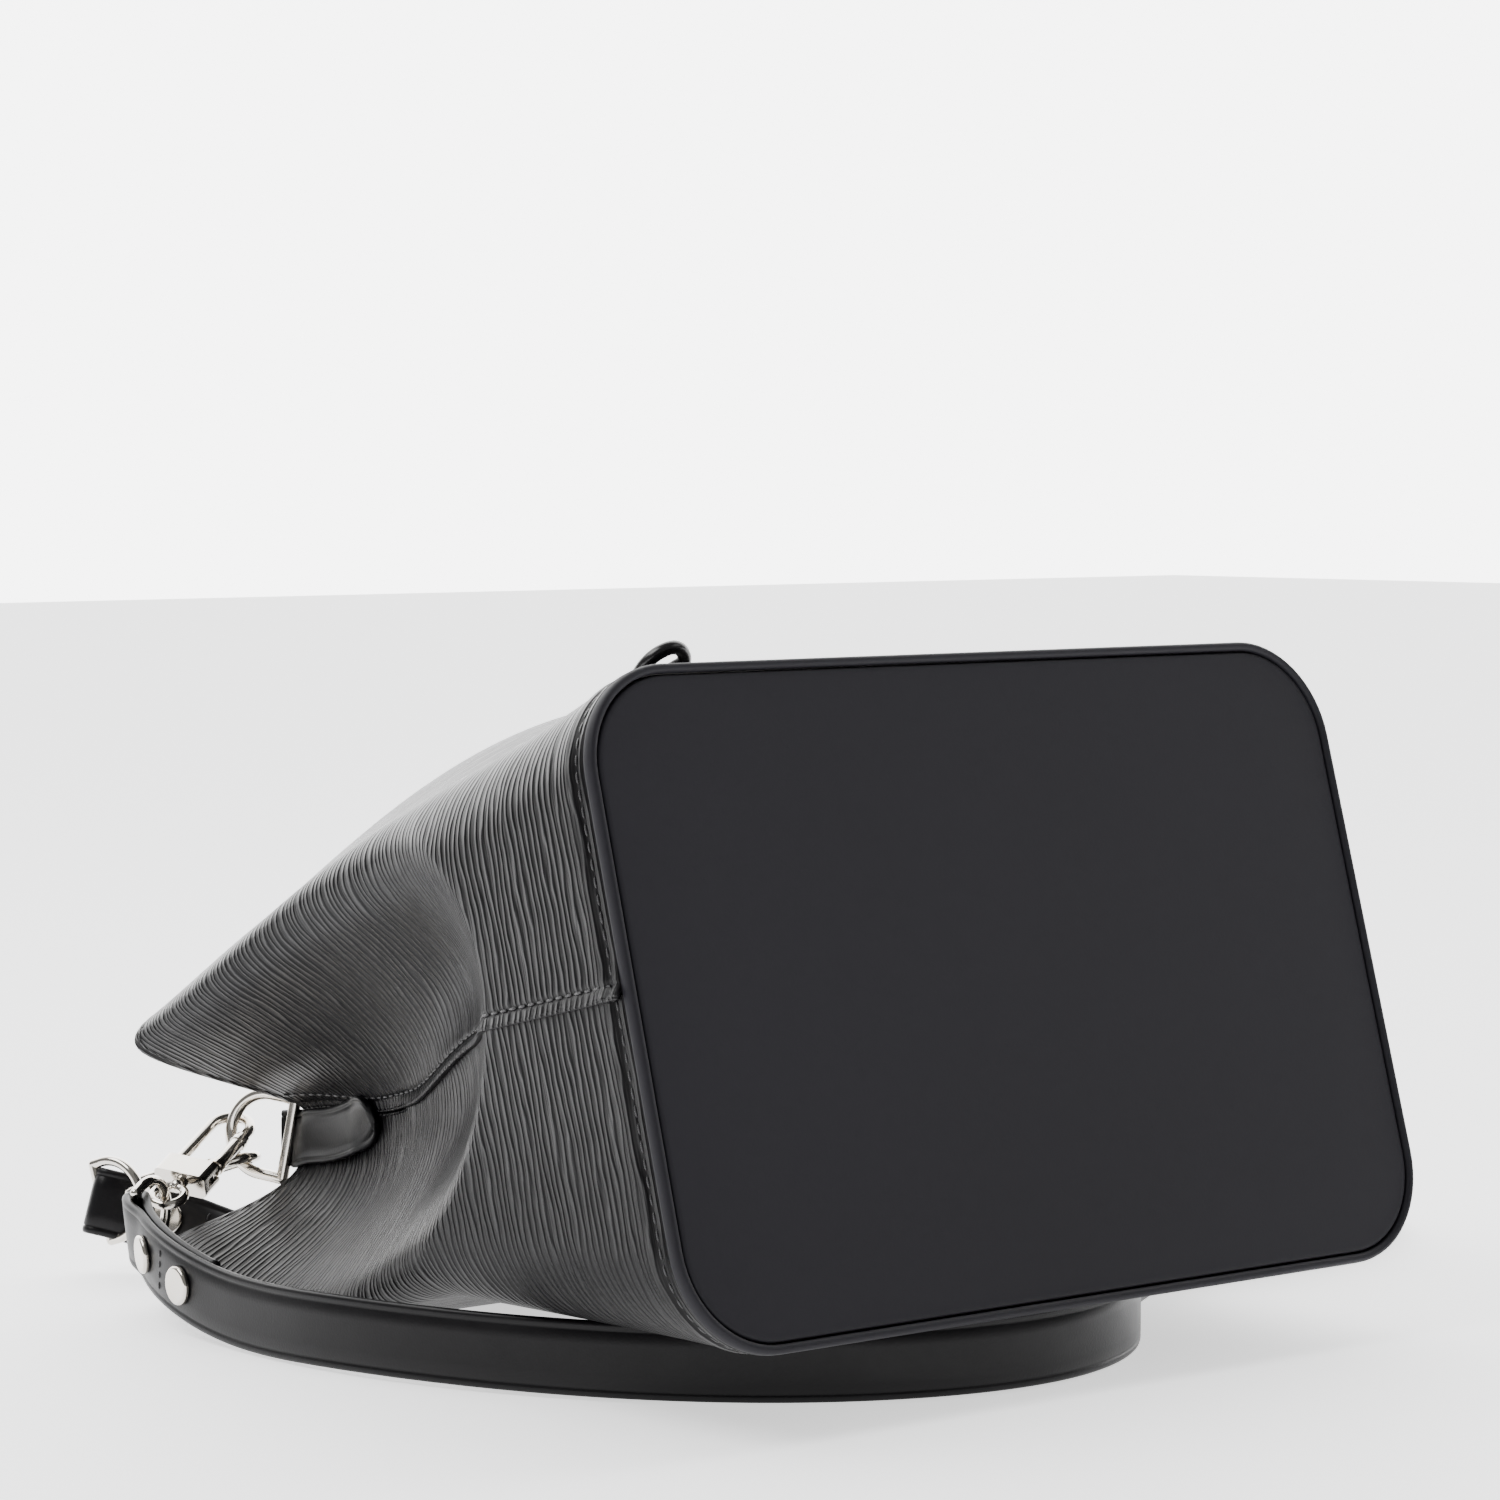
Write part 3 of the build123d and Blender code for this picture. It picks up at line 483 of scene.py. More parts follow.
def spaced(points, pitch, *others):
    """Points every pitch mm along a row of points, with their directions and the other rows taken along."""
    points = np.asarray(points)
    run = np.concatenate([[0], np.cumsum(np.linalg.norm(np.diff(points, axis=0), axis=1))])
    count = max(2, int(run[-1] / pitch))
    at = (np.arange(count) + 0.5) * run[-1] / count

    def taken(row, where):
        return np.stack([np.interp(where, run, row[:, k]) for k in range(3)], -1)

    step = taken(points, at + 0.2) - taken(points, at - 0.2)
    along = step / np.linalg.norm(step, axis=1, keepdims=True)
    return taken(points, at), along, *(taken(row, at) for row in others)


def both_halves(points):
    """Adds the mirrored right half to a row of points or directions on the left half."""
    return np.concatenate([points, points[::-1] * np.array([-1, 1, 1])])


rows_of_stitches = []
BASE_PITCH, LIP_PITCH, SEAM_PITCH, SUNK = 4.4, 3.4, 4.0, 0.32
d_row = np.linspace(0.0, 1, 500)
for side in (1, -1):
    edge_share = STITCH_EDGE / np.linalg.norm(wall(1.0, side, 0.6) - wall(0.0, side, 0.6))
    for t, pitch in ((edge_share, BASE_PITCH), (1 - edge_share, LIP_PITCH)):
        line, facing = wall(t, side, d_row), outward(t, side, d_row)
        line = line - facing * SUNK
        rows_of_stitches.append(spaced(both_halves(line), pitch, both_halves(facing)))
t_row = np.linspace(0.012, 0.985, 400)
seam_row, seam_out = [], []
for t in t_row:
    share = seam_share(t, 1, STITCH_EDGE)
    seam_row.append(wall(t, 1, share) + outward(t, 1, share) * (1.3 * math.exp(-STITCH_EDGE / 3.0) - SUNK))
    seam_out.append(outward(t, 1, share))
seam_row, seam_out = np.array(seam_row), np.array(seam_out)
for mirror in (1, -1):
    flip = np.array([mirror, 1, 1])
    rows_of_stitches.append(spaced(seam_row * flip, SEAM_PITCH, seam_out * flip))
places, along, outer = (np.concatenate([row[k] for row in rows_of_stitches]) for k in range(3))
repeat_on("panel_stitches", stitch_group, to_row(places), along, outer, waxed_thread)

# ---------------------------------------------------------------- Lining
# Two halves of black microfibre glued behind the leather, ending just under the lip.

microfibre, tree = new_material("brushed_microfibre_lining")
place = node(tree, "ShaderNodeTexCoord")
nap = node(tree, "ShaderNodeTexNoise", Vector=place.outputs["Object"], Scale=1800.0, Detail=4.0)
tone = node(tree, "ShaderNodeMix", {"data_type": "RGBA"}, Factor=nap.outputs["Fac"])
tone.inputs[6].default_value = hex_colour("#161517")
tone.inputs[7].default_value = hex_colour("#262527")
bump = node(tree, "ShaderNodeBump", Height=nap.outputs["Fac"], Strength=0.5, Distance=0.0002)
shader = node(
    tree, "ShaderNodeBsdfPrincipled", Base_Color=tone.outputs[2], Roughness=0.95, Normal=bump.outputs[0],
)
shader.inputs["Sheen Weight"].default_value = 0.4
node(tree, "ShaderNodeOutputMaterial", Surface=shader.outputs[0])


def crease_share(t, side, d):
    """Share of the thickness left along the sharp crease low on the back wall."""
    if side > 0:
        return 1.0
    here = wall(t, side, d)
    corner = np.array([-BASE_WIDTH / 2 + 14.5, 0, 13.7])
    away = np.hypot(here[..., 0] - corner[0], here[..., 2] - corner[2])
    return (1 - 0.8 * soft_step((t - 0.55) / 0.2) * np.exp(-((away / 9) ** 2)))[..., None]


def make_lining(name, side):
    t = np.linspace(0.012, 0.985, 60)[:, None]
    d = np.linspace(0, 1, 60)[None, :]
    points = wall(t, side, d) - outward(t, side, d) * 2.05 * crease_share(t, side, d)
    points = np.concatenate([points, points[:, ::-1][:, 1:] * np.array([-1, 1, 1])], axis=1)
    rows, columns = points.shape[:2]
    faces = grid_faces(rows, columns, flip=side < 0)
    piece = link_mesh(name, to_row(points.reshape(-1, 3)), faces, materials=(microfibre,))
    shell = piece.modifiers.new("cloth_thickness", "SOLIDIFY")
    shell.thickness = 0.0007
    shell.offset = -1
    return apply_modifiers(piece)


for name, side, cad_node in (("front_cloth", 1, "front_lining"), ("back_cloth", -1, "back_lining")):
    piece = make_lining(name, side)
    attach(piece, "bag")
    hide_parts(cad_node)

# ---------------------------------------------------------------- Base
# A stiff flat base: smooth leather over a board, sunk a little inside a raised rim.

base_leather, tree = new_material("matte_box_calf_leather")
place = node(tree, "ShaderNodeTexCoord")
pores = node(tree, "ShaderNodeTexNoise", Vector=place.outputs["Object"], Scale=1300.0, Detail=3.0)
cloud = node(tree, "ShaderNodeTexNoise", Vector=place.outputs["Object"], Scale=9.0, Detail=2.0)
tone = node(tree, "ShaderNodeMix", {"data_type": "RGBA"}, Factor=cloud.outputs["Fac"])
tone.inputs[6].default_value = hex_colour("#131217")
tone.inputs[7].default_value = hex_colour("#17161C")
bump = node(tree, "ShaderNodeBump", Height=pores.outputs["Fac"], Strength=0.14, Distance=0.0002)
shader = node(
    tree, "ShaderNodeBsdfPrincipled", Base_Color=tone.outputs[2], Roughness=0.62, Normal=bump.outputs[0],
)
shader.inputs["Specular IOR Level"].default_value = 0.22
node(tree, "ShaderNodeOutputMaterial", Surface=shader.outputs[0])

base_middle = np.array([
    0, WALL_FOOT + BASE_DEPTH / 2 * math.sin(BASE_TILT), FLOOR_GAP + BASE_DEPTH / 2 * math.cos(BASE_TILT),
])
base_up = np.array([0, math.sin(BASE_TILT), math.cos(BASE_TILT)])
base_out = np.array([0, -math.cos(BASE_TILT), math.sin(BASE_TILT)])


def base_ring(margin, height, scale=1.0):
    """Points of the base outline moved in by margin, at a height over the base plane."""
    a, b, r = BASE_WIDTH / 2 - margin, BASE_DEPTH / 2 - margin, max(CORNER - margin, 1)
    flat = []
    for quarter, (sx, sy) in enumerate(((1, 1), (-1, 1), (-1, -1), (1, -1))):
        for i in range(17):
            q = math.pi / 2 * (quarter + i / 16)
            flat.append((sx * (a - r) + r * math.cos(q), sy * (b - r) + r * math.sin(q)))
    flat = np.array(flat) * scale
    return base_middle + flat[:, :1] * np.array([1, 0, 0]) + flat[:, 1:] * base_up + height * base_out


def ring_faces(rings, count, closed):
    faces = []
    for i in range(rings if closed else rings - 1):
        for j in range(count):
            k, m = (j + 1) % count, (i + 1) % rings
            faces.append((i * count + j, i * count + k, m * count + k, m * count + j))
    return faces


# Each pair is a margin in from the outline and a height over the base plane, in mm.
AROUND = 4 * 17
rim_profile = [
    (0.05, 0.5), (-0.1, 1.2), (-0.1, 2.4), (0.1, 3.2), (0.5, 3.75), (1.0, 3.9), (1.6, 3.8), (2.1, 3.45),
    (2.35, 2.9), (2.4, 1.6), (2.4, 0.5),
]
rings = np.concatenate([base_ring(m, h) for m, h in rim_profile])
rim = link_mesh(
    "raised_rim", to_row(rings), ring_faces(len(rim_profile), AROUND, True), materials=(base_leather,),
)
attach(rim, "bag")
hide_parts("base_rim")

panel_profile = [(2.95, 0.4), (2.95, 2.5), (3.1, 2.95), (3.5, 3.15), (4.5, 3.2)]
rings = [base_ring(m, h) for m, h in panel_profile]
rings += [base_ring(4.5, 3.2 + 0.25 * (1 - s), s) for s in (0.8, 0.5, 0.2)]
faces = ring_faces(len(rings), AROUND, False)
faces.append(tuple(reversed(range(AROUND))))
faces.append(tuple(range((len(rings) - 1) * AROUND, len(rings) * AROUND)))
rings = np.concatenate(rings)
panel = link_mesh("base_cover", to_row(rings), faces, materials=(base_leather,))
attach(panel, "bag")
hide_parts("base_panel")

# Pressed fibreboard: brown, hard and slightly hairy, out of sight behind the base leather.
fibreboard, tree = new_material("pressed_fibreboard")
place = node(tree, "ShaderNodeTexCoord")
hairs = node(tree, "ShaderNodeTexNoise", Vector=place.outputs["Object"], Scale=800.0, Detail=5.0)
tone = node(tree, "ShaderNodeMix", {"data_type": "RGBA"}, Factor=hairs.outputs["Fac"])
tone.inputs[6].default_value = hex_colour("#3B2C20")
tone.inputs[7].default_value = hex_colour("#5A4632")
shader = node(tree, "ShaderNodeBsdfPrincipled", Base_Color=tone.outputs[2], Roughness=0.9)
node(tree, "ShaderNodeOutputMaterial", Surface=shader.outputs[0])
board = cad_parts["base_board"]
board.data.materials.clear()
board.data.materials.append(fibreboard)

# ---------------------------------------------------------------- Tabs
# A smooth leather tab at the top of each side seam, creased along its border, folded
# round the bar of a D-ring and sewn to the wall.

smooth_leather, tree = new_material("smooth_calf_leather")
place = node(tree, "ShaderNodeTexCoord")
pores = node(tree, "ShaderNodeTexNoise", Vector=place.outputs["Object"], Scale=1500.0, Detail=3.0)
wear = node(tree, "ShaderNodeTexNoise", Vector=place.outputs["Object"], Scale=55.0, Detail=3.0)
rough = node(tree, "ShaderNodeMapRange", Value=wear.outputs["Fac"], To_Min=0.3, To_Max=0.46)
bump = node(tree, "ShaderNodeBump", Height=pores.outputs["Fac"], Strength=0.2, Distance=0.0002)
shader = node(
    tree, "ShaderNodeBsdfPrincipled",
    Base_Color=hex_colour("#080709"), Roughness=rough.outputs[0], Normal=bump.outputs[0],
)
shader.inputs["Specular IOR Level"].default_value = 0.2
node(tree, "ShaderNodeOutputMaterial", Surface=shader.outputs[0])


def strip_profile(half_width, half_thick, crease):
    """Section of a leather strip: rounded edges and a pressed line along each border, on both faces."""
    border = half_width - crease
    top = [
        (half_width, 0.0), (half_width - 0.12, 0.55 * half_thick), (half_width - 0.5, 0.86 * half_thick),
        (half_width - 1.1, half_thick), (border + 0.35, half_thick), (border, half_thick - 0.3),
        (border - 0.4, half_thick + 0.02), (border * 0.5, half_thick + 0.05),
    ]
    left = [(-w, a) for w, a in reversed(top)]
    face = top + [(0.0, half_thick + 0.06)] + left
    under = [(w, -a) for w, a in reversed(face)][1:-1]
    return np.array(face + under)


def faces_out(piece):
    """Turns the faces outward."""
    work = bmesh.new()
    work.from_mesh(piece.data)
    bmesh.ops.recalc_face_normals(work, faces=work.faces)
    work.to_mesh(piece.data)
    work.free()
    return piece


def strip(name, centres, widths, profile, material, taper=None):
    """Sweeps a section along centres (mm), with its width along widths."""
    centres, widths = np.asarray(centres), np.asarray(widths)
    along = np.gradient(centres, axis=0)
    along /= np.linalg.norm(along, axis=1, keepdims=True)
    widths = widths - along * (widths * along).sum(1, keepdims=True)
    widths /= np.linalg.norm(widths, axis=1, keepdims=True)
    normals = np.cross(along, widths)
    size = np.ones(len(centres)) if taper is None else np.asarray(taper)
    across = profile[None, :, :1] * size[:, None, None]
    rows = centres[:, None] + widths[:, None] * across + normals[:, None] * profile[None, :, 1:]
    count = len(profile)
    faces = ring_faces(len(centres), count, False)
    faces.append(tuple(reversed(range(count))))
    faces.append(tuple(range((len(centres) - 1) * count, len(centres) * count)))
    return faces_out(link_mesh(name, to_row(rows.reshape(-1, 3)), faces, materials=(material,)))


TAB_HALF, TAB_THICK = 8.0, 2.1
TAB_MID = np.array([-78.486, 256.088, 43.349])
RING_AXIS = np.array([-0.16687, 0.06483, -0.98384])


def beside_seam(t, mm, lift):
    """Point on the wall mm below the side seam, or above it if mm is negative."""
    side = -1 if mm >= 0 else 1
    share = seam_share(t, side, abs(mm))
    return wall(t, side, share) + outward(t, side, share) * lift


t_tab = np.linspace(0.815, 1.0, 24)
tab_off = 9.0 - 9.0 * soft_step((0.96 - t_tab) / 0.2)
tab_line = np.array([
    beside_seam(t, m, 1.6 + 1.2 * math.exp(-abs(m) / 4)) for t, m in zip(t_tab, tab_off)
])
tab_width = np.array([
    beside_seam(t, m + 6, 1.5) - beside_seam(t, m - 6, 1.5) for t, m in zip(t_tab, tab_off)
])
tab_width /= np.linalg.norm(tab_width, axis=1, keepdims=True)
axis = RING_AXIS * np.sign(RING_AXIS @ tab_width[-1])
start = tab_line[-1] - TAB_MID
start = start - axis * (start @ axis)
first = start / np.linalg.norm(start)
forward = np.cross(first, axis)
forward *= np.sign(forward @ (tab_line[-1] - tab_line[-6]))
bend = np.array([
    TAB_MID + 2.75 * (first * math.cos(q) + forward * math.sin(q)) for q in np.linspace(0.35, math.pi, 14)
])
inner_t = np.linspace(0.985, 0.93, 8)
inner_share = np.array([seam_share(t, -1, 9.0) for t in inner_t])
inner_line = wall(inner_t, -1, inner_share) - outward(inner_t, -1, inner_share) * 4.2
centres = np.concatenate([tab_line[:-1], bend, inner_line[2:]])
widths = np.concatenate([tab_width[:-1], np.tile(axis, (14, 1)), np.tile(tab_width[-1], (6, 1))])
run = np.concatenate([[0], np.cumsum(np.linalg.norm(np.diff(centres, axis=0), axis=1))])
end = np.clip(run / 11.0, 0, 1)
taper = 0.34 + 0.66 * np.sqrt(1 - (1 - end) ** 2)
for name, cad_node, mirror in (("left_tab", "tab_left", 1), ("right_tab", "tab_right", -1)):
    flip = np.array([mirror, 1, 1])
    section = strip_profile(TAB_HALF, TAB_THICK / 2, 1.9)
    piece = strip(name, centres * flip, widths * flip, section, smooth_leather, taper)
    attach(piece, "bag")
    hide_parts(cad_node)

# ---------------------------------------------------------------- Straps
# Two straps of creased calf leather on ring ends: the long one stands on its edge round
# the bag, the handle lies flat behind it. Each end is folded round its ring bar, doubled
# back 58 mm and held by two rivets.

STRAP_HALF, STRAP_THICK = 10.0, 2.6


def smooth_path(points, step):
    """Cubic through the points with arc-length steps, as points in mm."""
    points = np.asarray(points, float)
    u = np.concatenate([[0], np.cumsum(np.linalg.norm(np.diff(points, axis=0), axis=1))])
    n = len(points)
    ends = []
    for ids, at in ((slice(0, 4), 0), (slice(n - 4, n), -1)):
        poly = [np.polyder(np.polyfit(u[ids], points[ids, k], 3)) for k in range(3)]
        ends.append([np.polyval(p, u[at]) for p in poly])
    matrix, right = np.zeros((n, n)), np.zeros((n, 3))
    matrix[0, 0] = matrix[-1, -1] = 1
    right[0], right[-1] = ends
    gap = np.diff(u)
    for i in range(1, n - 1):
        matrix[i, i - 1], matrix[i, i], matrix[i, i + 1] = gap[i], 2 * (gap[i - 1] + gap[i]), gap[i - 1]
        before = gap[i] * (points[i] - points[i - 1]) / gap[i - 1]
        after = gap[i - 1] * (points[i + 1] - points[i]) / gap[i]
        right[i] = 3 * (before + after)
    slope = np.linalg.solve(matrix, right)
    fine = []
    for i in range(n - 1):
        q = np.linspace(0, 1, 200, endpoint=i == n - 2)[:, None]
        a, b = points[i], points[i + 1]
        fine.append(
            (2 * q**3 - 3 * q**2 + 1) * a + (q**3 - 2 * q**2 + q) * gap[i] * slope[i]
            + (-2 * q**3 + 3 * q**2) * b + (q**3 - q**2) * gap[i] * slope[i + 1]
        )
    fine = np.concatenate(fine)
    length = np.concatenate([[0], np.cumsum(np.linalg.norm(np.diff(fine, axis=0), axis=1))])
    at = np.linspace(0, length[-1], int(length[-1] / step) + 1)
    return np.stack([np.interp(at, length, fine[:, k]) for k in range(3)], -1), at


def strap_frames(points, rolls, first_bar, step=2.0):
    """Centres, widths and outer directions along a strap, as it is laid."""
    centres, at = smooth_path(points, step)
    along = np.gradient(centres, axis=0)
    along /= np.linalg.norm(along, axis=1, keepdims=True)
    side = np.cross(along, [0, 0, 1])
    side /= np.linalg.norm(side, axis=1, keepdims=True)
    upright = np.cross(side, along)
    share = at / at[-1]
    start = math.degrees(math.atan2(first_bar @ side[0], first_bar @ upright[0]))
    turn = np.zeros(len(at))
    rolls = [(0, start), *rolls]
    for (u0, r0), (u1, r1) in zip(rolls, rolls[1:]):
        inside = (share >= u0) & (share <= u1)
        turn[inside] = r0 + (r1 - r0) * soft_step((share[inside] - u0) / (u1 - u0))
    turn = np.radians(turn)[:, None]
    widths = upright * np.cos(turn) + side * np.sin(turn)
    return centres, at, along, widths, np.cross(widths, along)


def strap(name, cad_node, frames, inner_ends):
    """Strap with its two doubled ends, and the frames of its stitches."""
    centres, at, along, widths, across = frames
    total = at[-1]
    bend = 1.56 + STRAP_THICK / 2 - 0.1
    back = 2.58
    line, wide = [], []
    first, last = inner_ends

    def ease_in(s):
        return 1 - soft_step(s / 15.0)

    for i in reversed([k for k in range(len(at)) if 1.5 < at[k] <= 57]):
        off = back + (bend - back) * ease_in(at[i])
        line.append(centres[i] + across[i] * first * off)
        wide.append(widths[i])
    for q in np.linspace(0, math.pi, 12):
        line.append(centres[0] + bend * (across[0] * first * math.cos(q) - along[0] * math.sin(q)))
        wide.append(widths[0])
    for i in range(len(at)):
        if not 1.5 < at[i] < total - 1.5:
            continue
        off = -first * bend * ease_in(at[i]) - last * bend * ease_in(total - at[i])
        line.append(centres[i] + across[i] * off)
        wide.append(widths[i])
    for q in np.linspace(0, math.pi, 12):
        line.append(centres[-1] + bend * (-across[-1] * last * math.cos(q) + along[-1] * math.sin(q)))
        wide.append(widths[-1])
    for i in [k for k in range(len(at)) if total - 57 <= at[k] < total - 1.5]:
        off = back + (bend - back) * ease_in(total - at[i])
        line.append(centres[i] + across[i] * last * off)
        wide.append(widths[i])
    piece = strip(name, line, wide, strip_profile(STRAP_HALF, STRAP_THICK / 2, 2.3), smooth_leather)
    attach(piece, "bag")
    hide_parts(cad_node)
    places, directions, faces = [], [], []
    for near, sign in ((True, first), (False, last)):
        for distance, reach in ((11.0, 8.4), (32.0, 4.8)):
            i = int(np.abs(at - (distance if near else total - distance)).argmin())
            for k in np.linspace(-reach, reach, int(reach / 1.2)):
                for outer_side, off in ((sign, back + STRAP_THICK / 2), (-sign, STRAP_THICK / 2)):
                    places.append(centres[i] + widths[i] * k + across[i] * outer_side * (off + 0.1))
                    directions.append(widths[i])
                    faces.append(across[i] * outer_side)
    repeat_on(
        name + "_stitches", stitch_group, to_row(places), directions, faces, waxed_thread,
        sizes={"Length": 0.0011, "Width": 0.00035},
    )


bars = {
    "long_left": ((-131.122, 253.142, 23.465), (0.30458, 0.31209, -0.89991)),
    "handle_left": ((-103.494, 319.388, 19.522), (0.07483, -0.3006, -0.95081)),
    "long_right": ((236.0, 252.0, 4.25), (0.89101, 0.45399, 0.0)),
    "handle_right": ((114.0, 330.0, 4.25), (0.96593, 0.25882, 0.0)),
}
near_bar, far_bar = np.array(bars["long_left"][0]), np.array(bars["handle_left"][0])
long_points = [
    near_bar, (-141, 226, 17), (-142, 195, 11.1), (-139, 150, 10.1), (-112, 78, 10.1), (-62, 25, 10.1),
    (0, 10, 10.1), (45, 30, 10.1), (85, 72, 10.1), (140, 98, 10.1), (200, 108, 10.1), (244, 140, 6),
    (255, 190, 3.2), (248, 225, 3.6), bars["long_right"][0],
]
handle_points = [
    far_bar, far_bar + (11, -11, -4), far_bar + (21, -24, -8.5), (-72, 279, 7.5), (-60, 258, 2.4),
    (-42, 240, 1.4), (0, 226, 1.4), (55, 232, 1.4), (96, 262, 2.6), (112, 297, 3.4), bars["handle_right"][0],
]
long_rolls, handle_rolls = [(0.12, 0), (0.7, 0), (0.86, 90), (1, 90)], [(0.25, -90), (1, -90)]
long_frames = strap_frames(long_points, long_rolls, -np.array(bars["long_left"][1]))
handle_frames = strap_frames(handle_points, handle_rolls, -np.array(bars["handle_left"][1]))
strap("creased_long_strap", "long_strap", long_frames, (1, 1))
strap("creased_handle_strap", "handle_strap", handle_frames, (1, -1))

# ---------------------------------------------------------------- Hardware
# D-rings, snap hooks, swivels, strap rings, rivets and zip metal, all palladium plated.

# Palladium plating: cast zinc polished, plated in cool white metal and lacquered, with
# faint polishing haze and finger marks.
palladium, tree = new_material("polished_palladium_plating")
place = node(tree, "ShaderNodeTexCoord")
haze = node(tree, "ShaderNodeTexNoise", Vector=place.outputs["Object"], Scale=160.0, Detail=4.0)
rough = node(tree, "ShaderNodeMapRange", Value=haze.outputs["Fac"], To_Min=0.05, To_Max=0.2)
tone = node(tree, "ShaderNodeMix", {"data_type": "RGBA"}, Factor=haze.outputs["Fac"])
tone.inputs[6].default_value = hex_colour("#C9C2B8")
tone.inputs[7].default_value = hex_colour("#DAD6CF")
dimple = node(tree, "ShaderNodeBump", Height=haze.outputs["Fac"], Strength=0.08, Distance=0.0002)
shader = node(
    tree, "ShaderNodeBsdfPrincipled", Base_Color=tone.outputs[2], Metallic=1.0, Roughness=rough.outputs[0],
    Normal=dimple.outputs[0],
)
node(tree, "ShaderNodeOutputMaterial", Surface=shader.outputs[0])
hardware = ("frame_", "gate_", "swivel_", "strap_ring_", "d_ring_", "rivet_", "zip_slider", "zip_pull")
for name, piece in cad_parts.items():
    if name.startswith(hardware):
        piece.data.materials.clear()
        piece.data.materials.append(palladium)

# ---------------------------------------------------------------- Drawstring
# A round leather cord runs behind the front wall and comes out through two holes near
# the middle as a small loop with a crossing strand.

CORD_RADIUS, CORD_T = 2.1, 0.56
cord_leather, tree = new_material("rolled_leather_cord")
place = node(tree, "ShaderNodeTexCoord")
wrinkle = node(tree, "ShaderNodeTexNoise", Vector=place.outputs["Object"], Scale=420.0, Detail=3.0)
bump = node(tree, "ShaderNodeBump", Height=wrinkle.outputs["Fac"], Strength=0.25, Distance=0.0003)
shader = node(
    tree, "ShaderNodeBsdfPrincipled",
    Base_Color=hex_colour("#121113"), Roughness=0.26, Normal=bump.outputs[0],
)
node(tree, "ShaderNodeOutputMaterial", Surface=shader.outputs[0])


def rope(name, points, radius, material):
    """Round cord swept through points in mm."""
    centres, _ = smooth_path(points, radius * 0.4)
    along = np.gradient(centres, axis=0)
    along /= np.linalg.norm(along, axis=1, keepdims=True)
    reference = np.array([0, 1.0, 0.05])
    wide = np.cross(along, reference)
    wide /= np.linalg.norm(wide, axis=1, keepdims=True)
    other = np.cross(along, wide)
    count = 14
    q = np.linspace(0, 2 * math.pi, count, endpoint=False)[None, :, None]
    rows = centres[:, None] + radius * (np.cos(q) * wide[:, None] + np.sin(q) * other[:, None])
    faces = ring_faces(len(centres), count, False)
    faces.append(tuple(reversed(range(count))))
    faces.append(tuple(range((len(centres) - 1) * count, len(centres) * count)))
    return faces_out(link_mesh(name, to_row(rows.reshape(-1, 3)), faces, materials=(material,)))


top = wall(CORD_T, 1, 1.0)
loop = [
    (-6.5, 0, -6), (-6.5, 0, 0), (-7.4, -5, 7), (-5.8, -10.5, 13.2), (0, -13, 16), (5.8, -10.5, 13.2),
    (7.4, -5, 7), (6.5, 0, 0), (6.5, 0, -6),
]
strand = [(-4.4, -0.8, -5), (-3.8, -1.6, 1.0), (-1.0, -5.2, 6.0), (3.4, -8.4, 10.4), (6.0, -9.4, 11.8)]
arch = rope("drawstring_loop", [top + np.array(p) for p in loop], CORD_RADIUS, cord_leather)
cross = rope("drawstring_strand", [top + np.array(p) for p in strand], 1.5, cord_leather)
for piece in (arch, cross):
    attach(piece, "bag")
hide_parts("drawstring_arch")
d_cord = np.linspace(0.56, 1, 9)
half = wall(CORD_T, 1, d_cord) - outward(CORD_T, 1, d_cord) * 7.1
half[-1, 0] = 0
across_bag = np.concatenate([half, half[::-1][1:] * np.array([-1, 1, 1])])
inside_cord = rope("drawstring_inside", across_bag, CORD_RADIUS, cord_leather)
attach(inside_cord, "bag")
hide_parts("drawstring_run")

# ---------------------------------------------------------------- Zip pocket
# A flat pocket on the back lining, closed by a metal zip on woven tape.

zip_weave, tree = new_material("woven_polyester_zip_tape")
place = node(tree, "ShaderNodeTexCoord")
weave = node(
    tree, "ShaderNodeTexWave", {"bands_direction": "Y"},
    Vector=place.outputs["Object"], Scale=420.0, Distortion=1.0,
)
bump = node(tree, "ShaderNodeBump", Height=weave.outputs["Fac"], Strength=0.5, Distance=0.0002)
shader = node(
    tree, "ShaderNodeBsdfPrincipled", Base_Color=hex_colour("#19181A"), Roughness=0.8, Normal=bump.outputs[0],
)
node(tree, "ShaderNodeOutputMaterial", Surface=shader.outputs[0])


def share_at(t, x):
    """Share of the lower outline at which the wall is x mm from the middle, found by halving."""
    low, high = 0.5, 1.0
    for _ in range(30):
        middle = (low + high) / 2
        low, high = (middle, high) if wall(t, -1, middle)[0] < -x else (low, middle)
    return (low + high) / 2


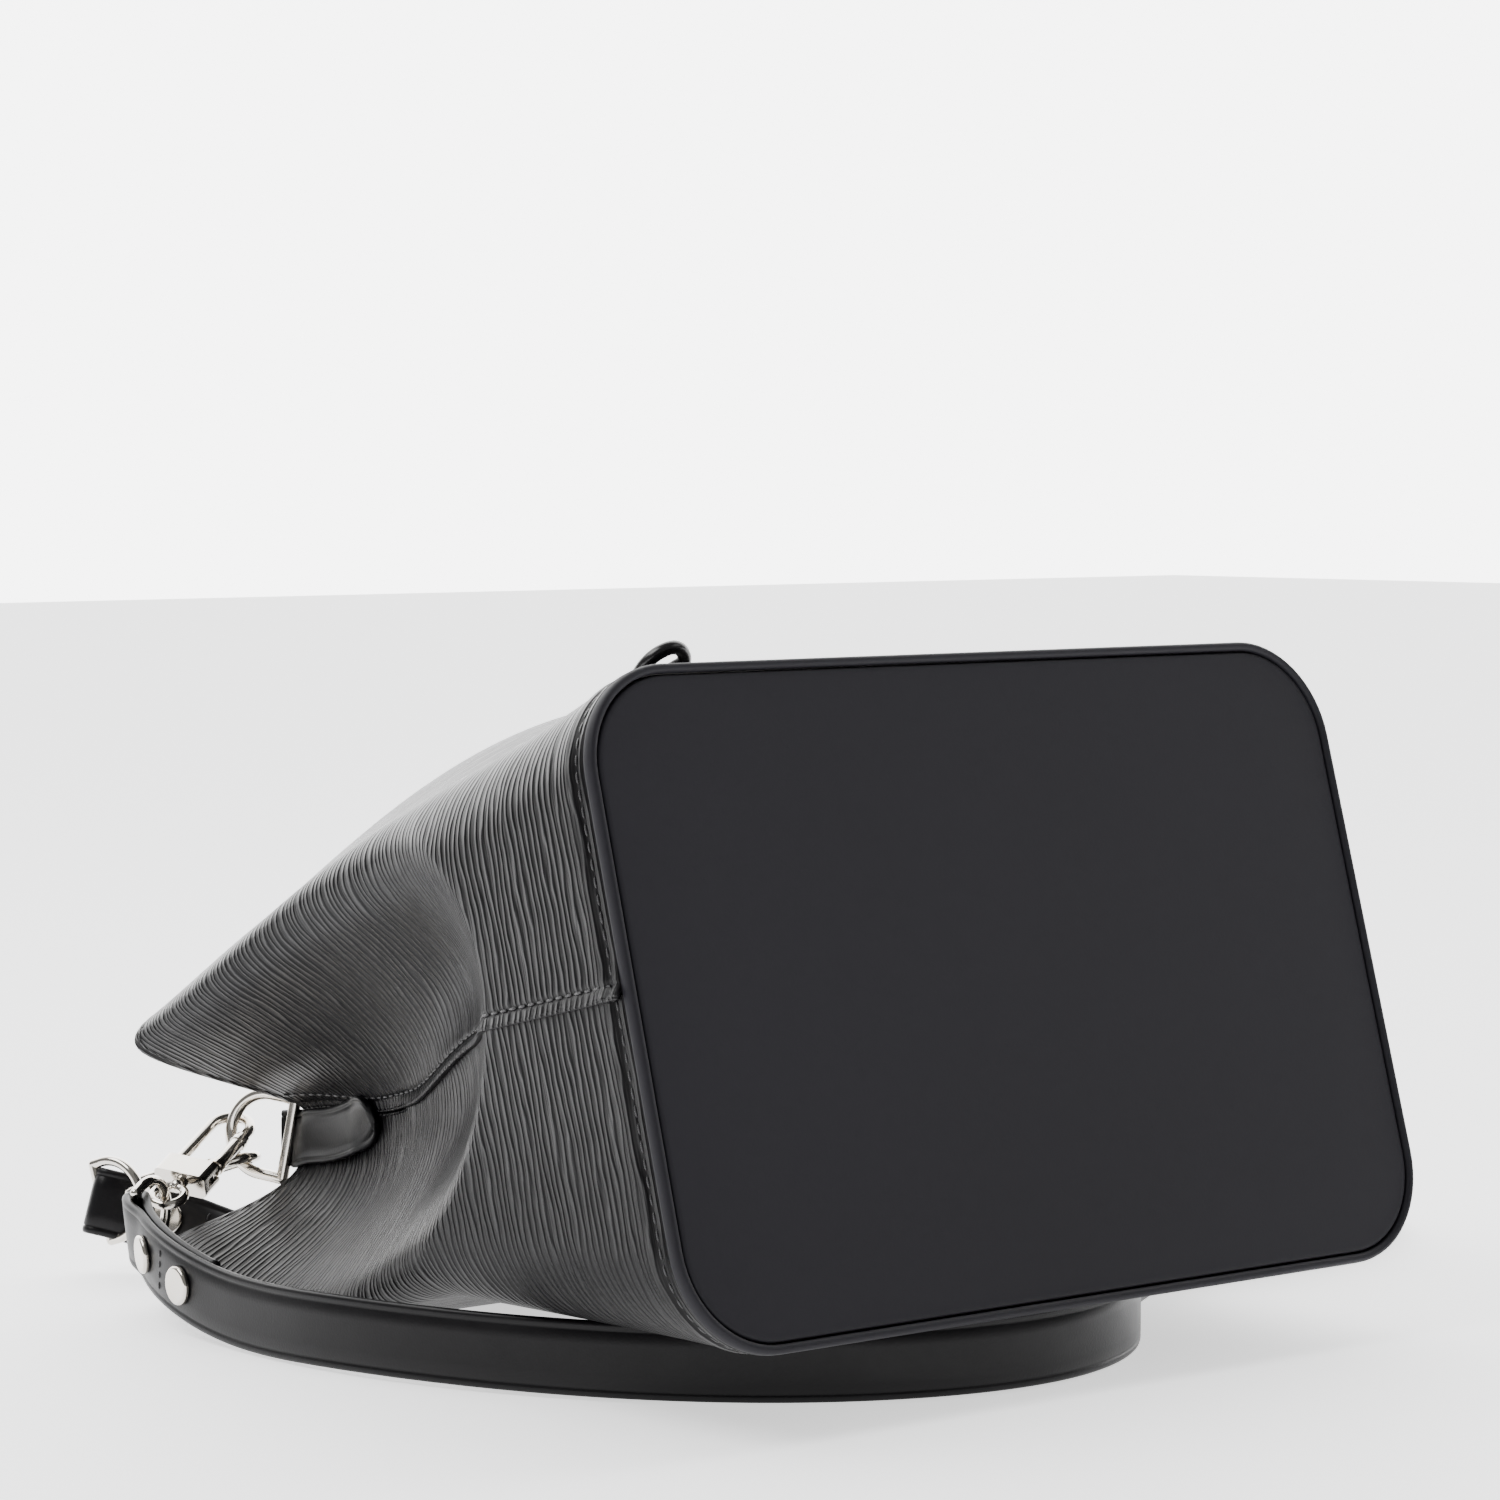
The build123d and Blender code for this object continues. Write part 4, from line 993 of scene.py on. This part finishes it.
def inner_patch(name, t0, t1, x0, x1, low, high, puff, material):
    """Closed pad over the back lining between two insets, fuller in its middle."""
    rows, columns = 13, 33
    grids = []
    for inset, swell in ((high, puff), (low, 0.0)):
        grid = []
        for up in np.linspace(0, 1, rows):
            for across in np.linspace(0, 1, columns):
                t, x = t0 + (t1 - t0) * up, x0 + (x1 - x0) * across
                share = share_at(t, abs(x))
                depth = inset + swell * math.sin(math.pi * up) * math.sin(math.pi * across)
                point = wall(t, -1, share) - outward(t, -1, share) * depth
                grid.append(point * np.array([1 if x < 0 else -1, 1, 1]))
        grids.append(np.array(grid))
    count = rows * columns
    faces = grid_faces(rows, columns)
    faces += [tuple(reversed([v + count for v in f])) for f in grid_faces(rows, columns)]
    edge = list(range(columns)) + [i * columns + columns - 1 for i in range(1, rows)]
    edge += [(rows - 1) * columns + j for j in range(columns - 2, -1, -1)]
    edge += [i * columns for i in range(rows - 2, 0, -1)]
    for a, b in zip(edge, edge[1:] + edge[:1]):
        faces.append((b, a, a + count, b + count))
    return faces_out(link_mesh(name, to_row(np.concatenate(grids)), faces, materials=(material,)))


pocket = inner_patch("pocket_cloth", 0.36, 0.70, -72.0, 72.0, 3.3, 4.2, 1.2, microfibre)
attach(pocket, "bag")
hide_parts("zip_pocket")
tape = inner_patch("zip_cloth", 0.705, 0.75, -72.0, 72.0, 3.1, 3.8, 0.0, zip_weave)
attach(tape, "bag")
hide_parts("zip_tape")

teeth_low, teeth_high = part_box("zip_teeth")
TOOTH_PITCH, TAPE_END = 0.0012, 0.001
teeth_x = np.arange(teeth_low[0] + TAPE_END, teeth_high[0] - TAPE_END, TOOTH_PITCH)
middle_y, middle_z = (teeth_low[1] + teeth_high[1]) / 2, (teeth_low[2] + teeth_high[2]) / 2
teeth = [(x, middle_y + (0.0006 if i % 2 else -0.0006), middle_z) for i, x in enumerate(teeth_x)]
teeth_group = repeat_group(
    "zip_tooth_row", "GeometryNodeMeshCube", {"Size": (1.0, 1.0, 1.0)}, (0.0009, 0.002, 0.0011), 0.0,
)
lengthways, upwards = [(1, 0, 0)] * len(teeth), [(0, 0, 1)] * len(teeth)
piece = repeat_on("zip_tooth_rows", teeth_group, teeth, lengthways, upwards, palladium)
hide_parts("zip_teeth")
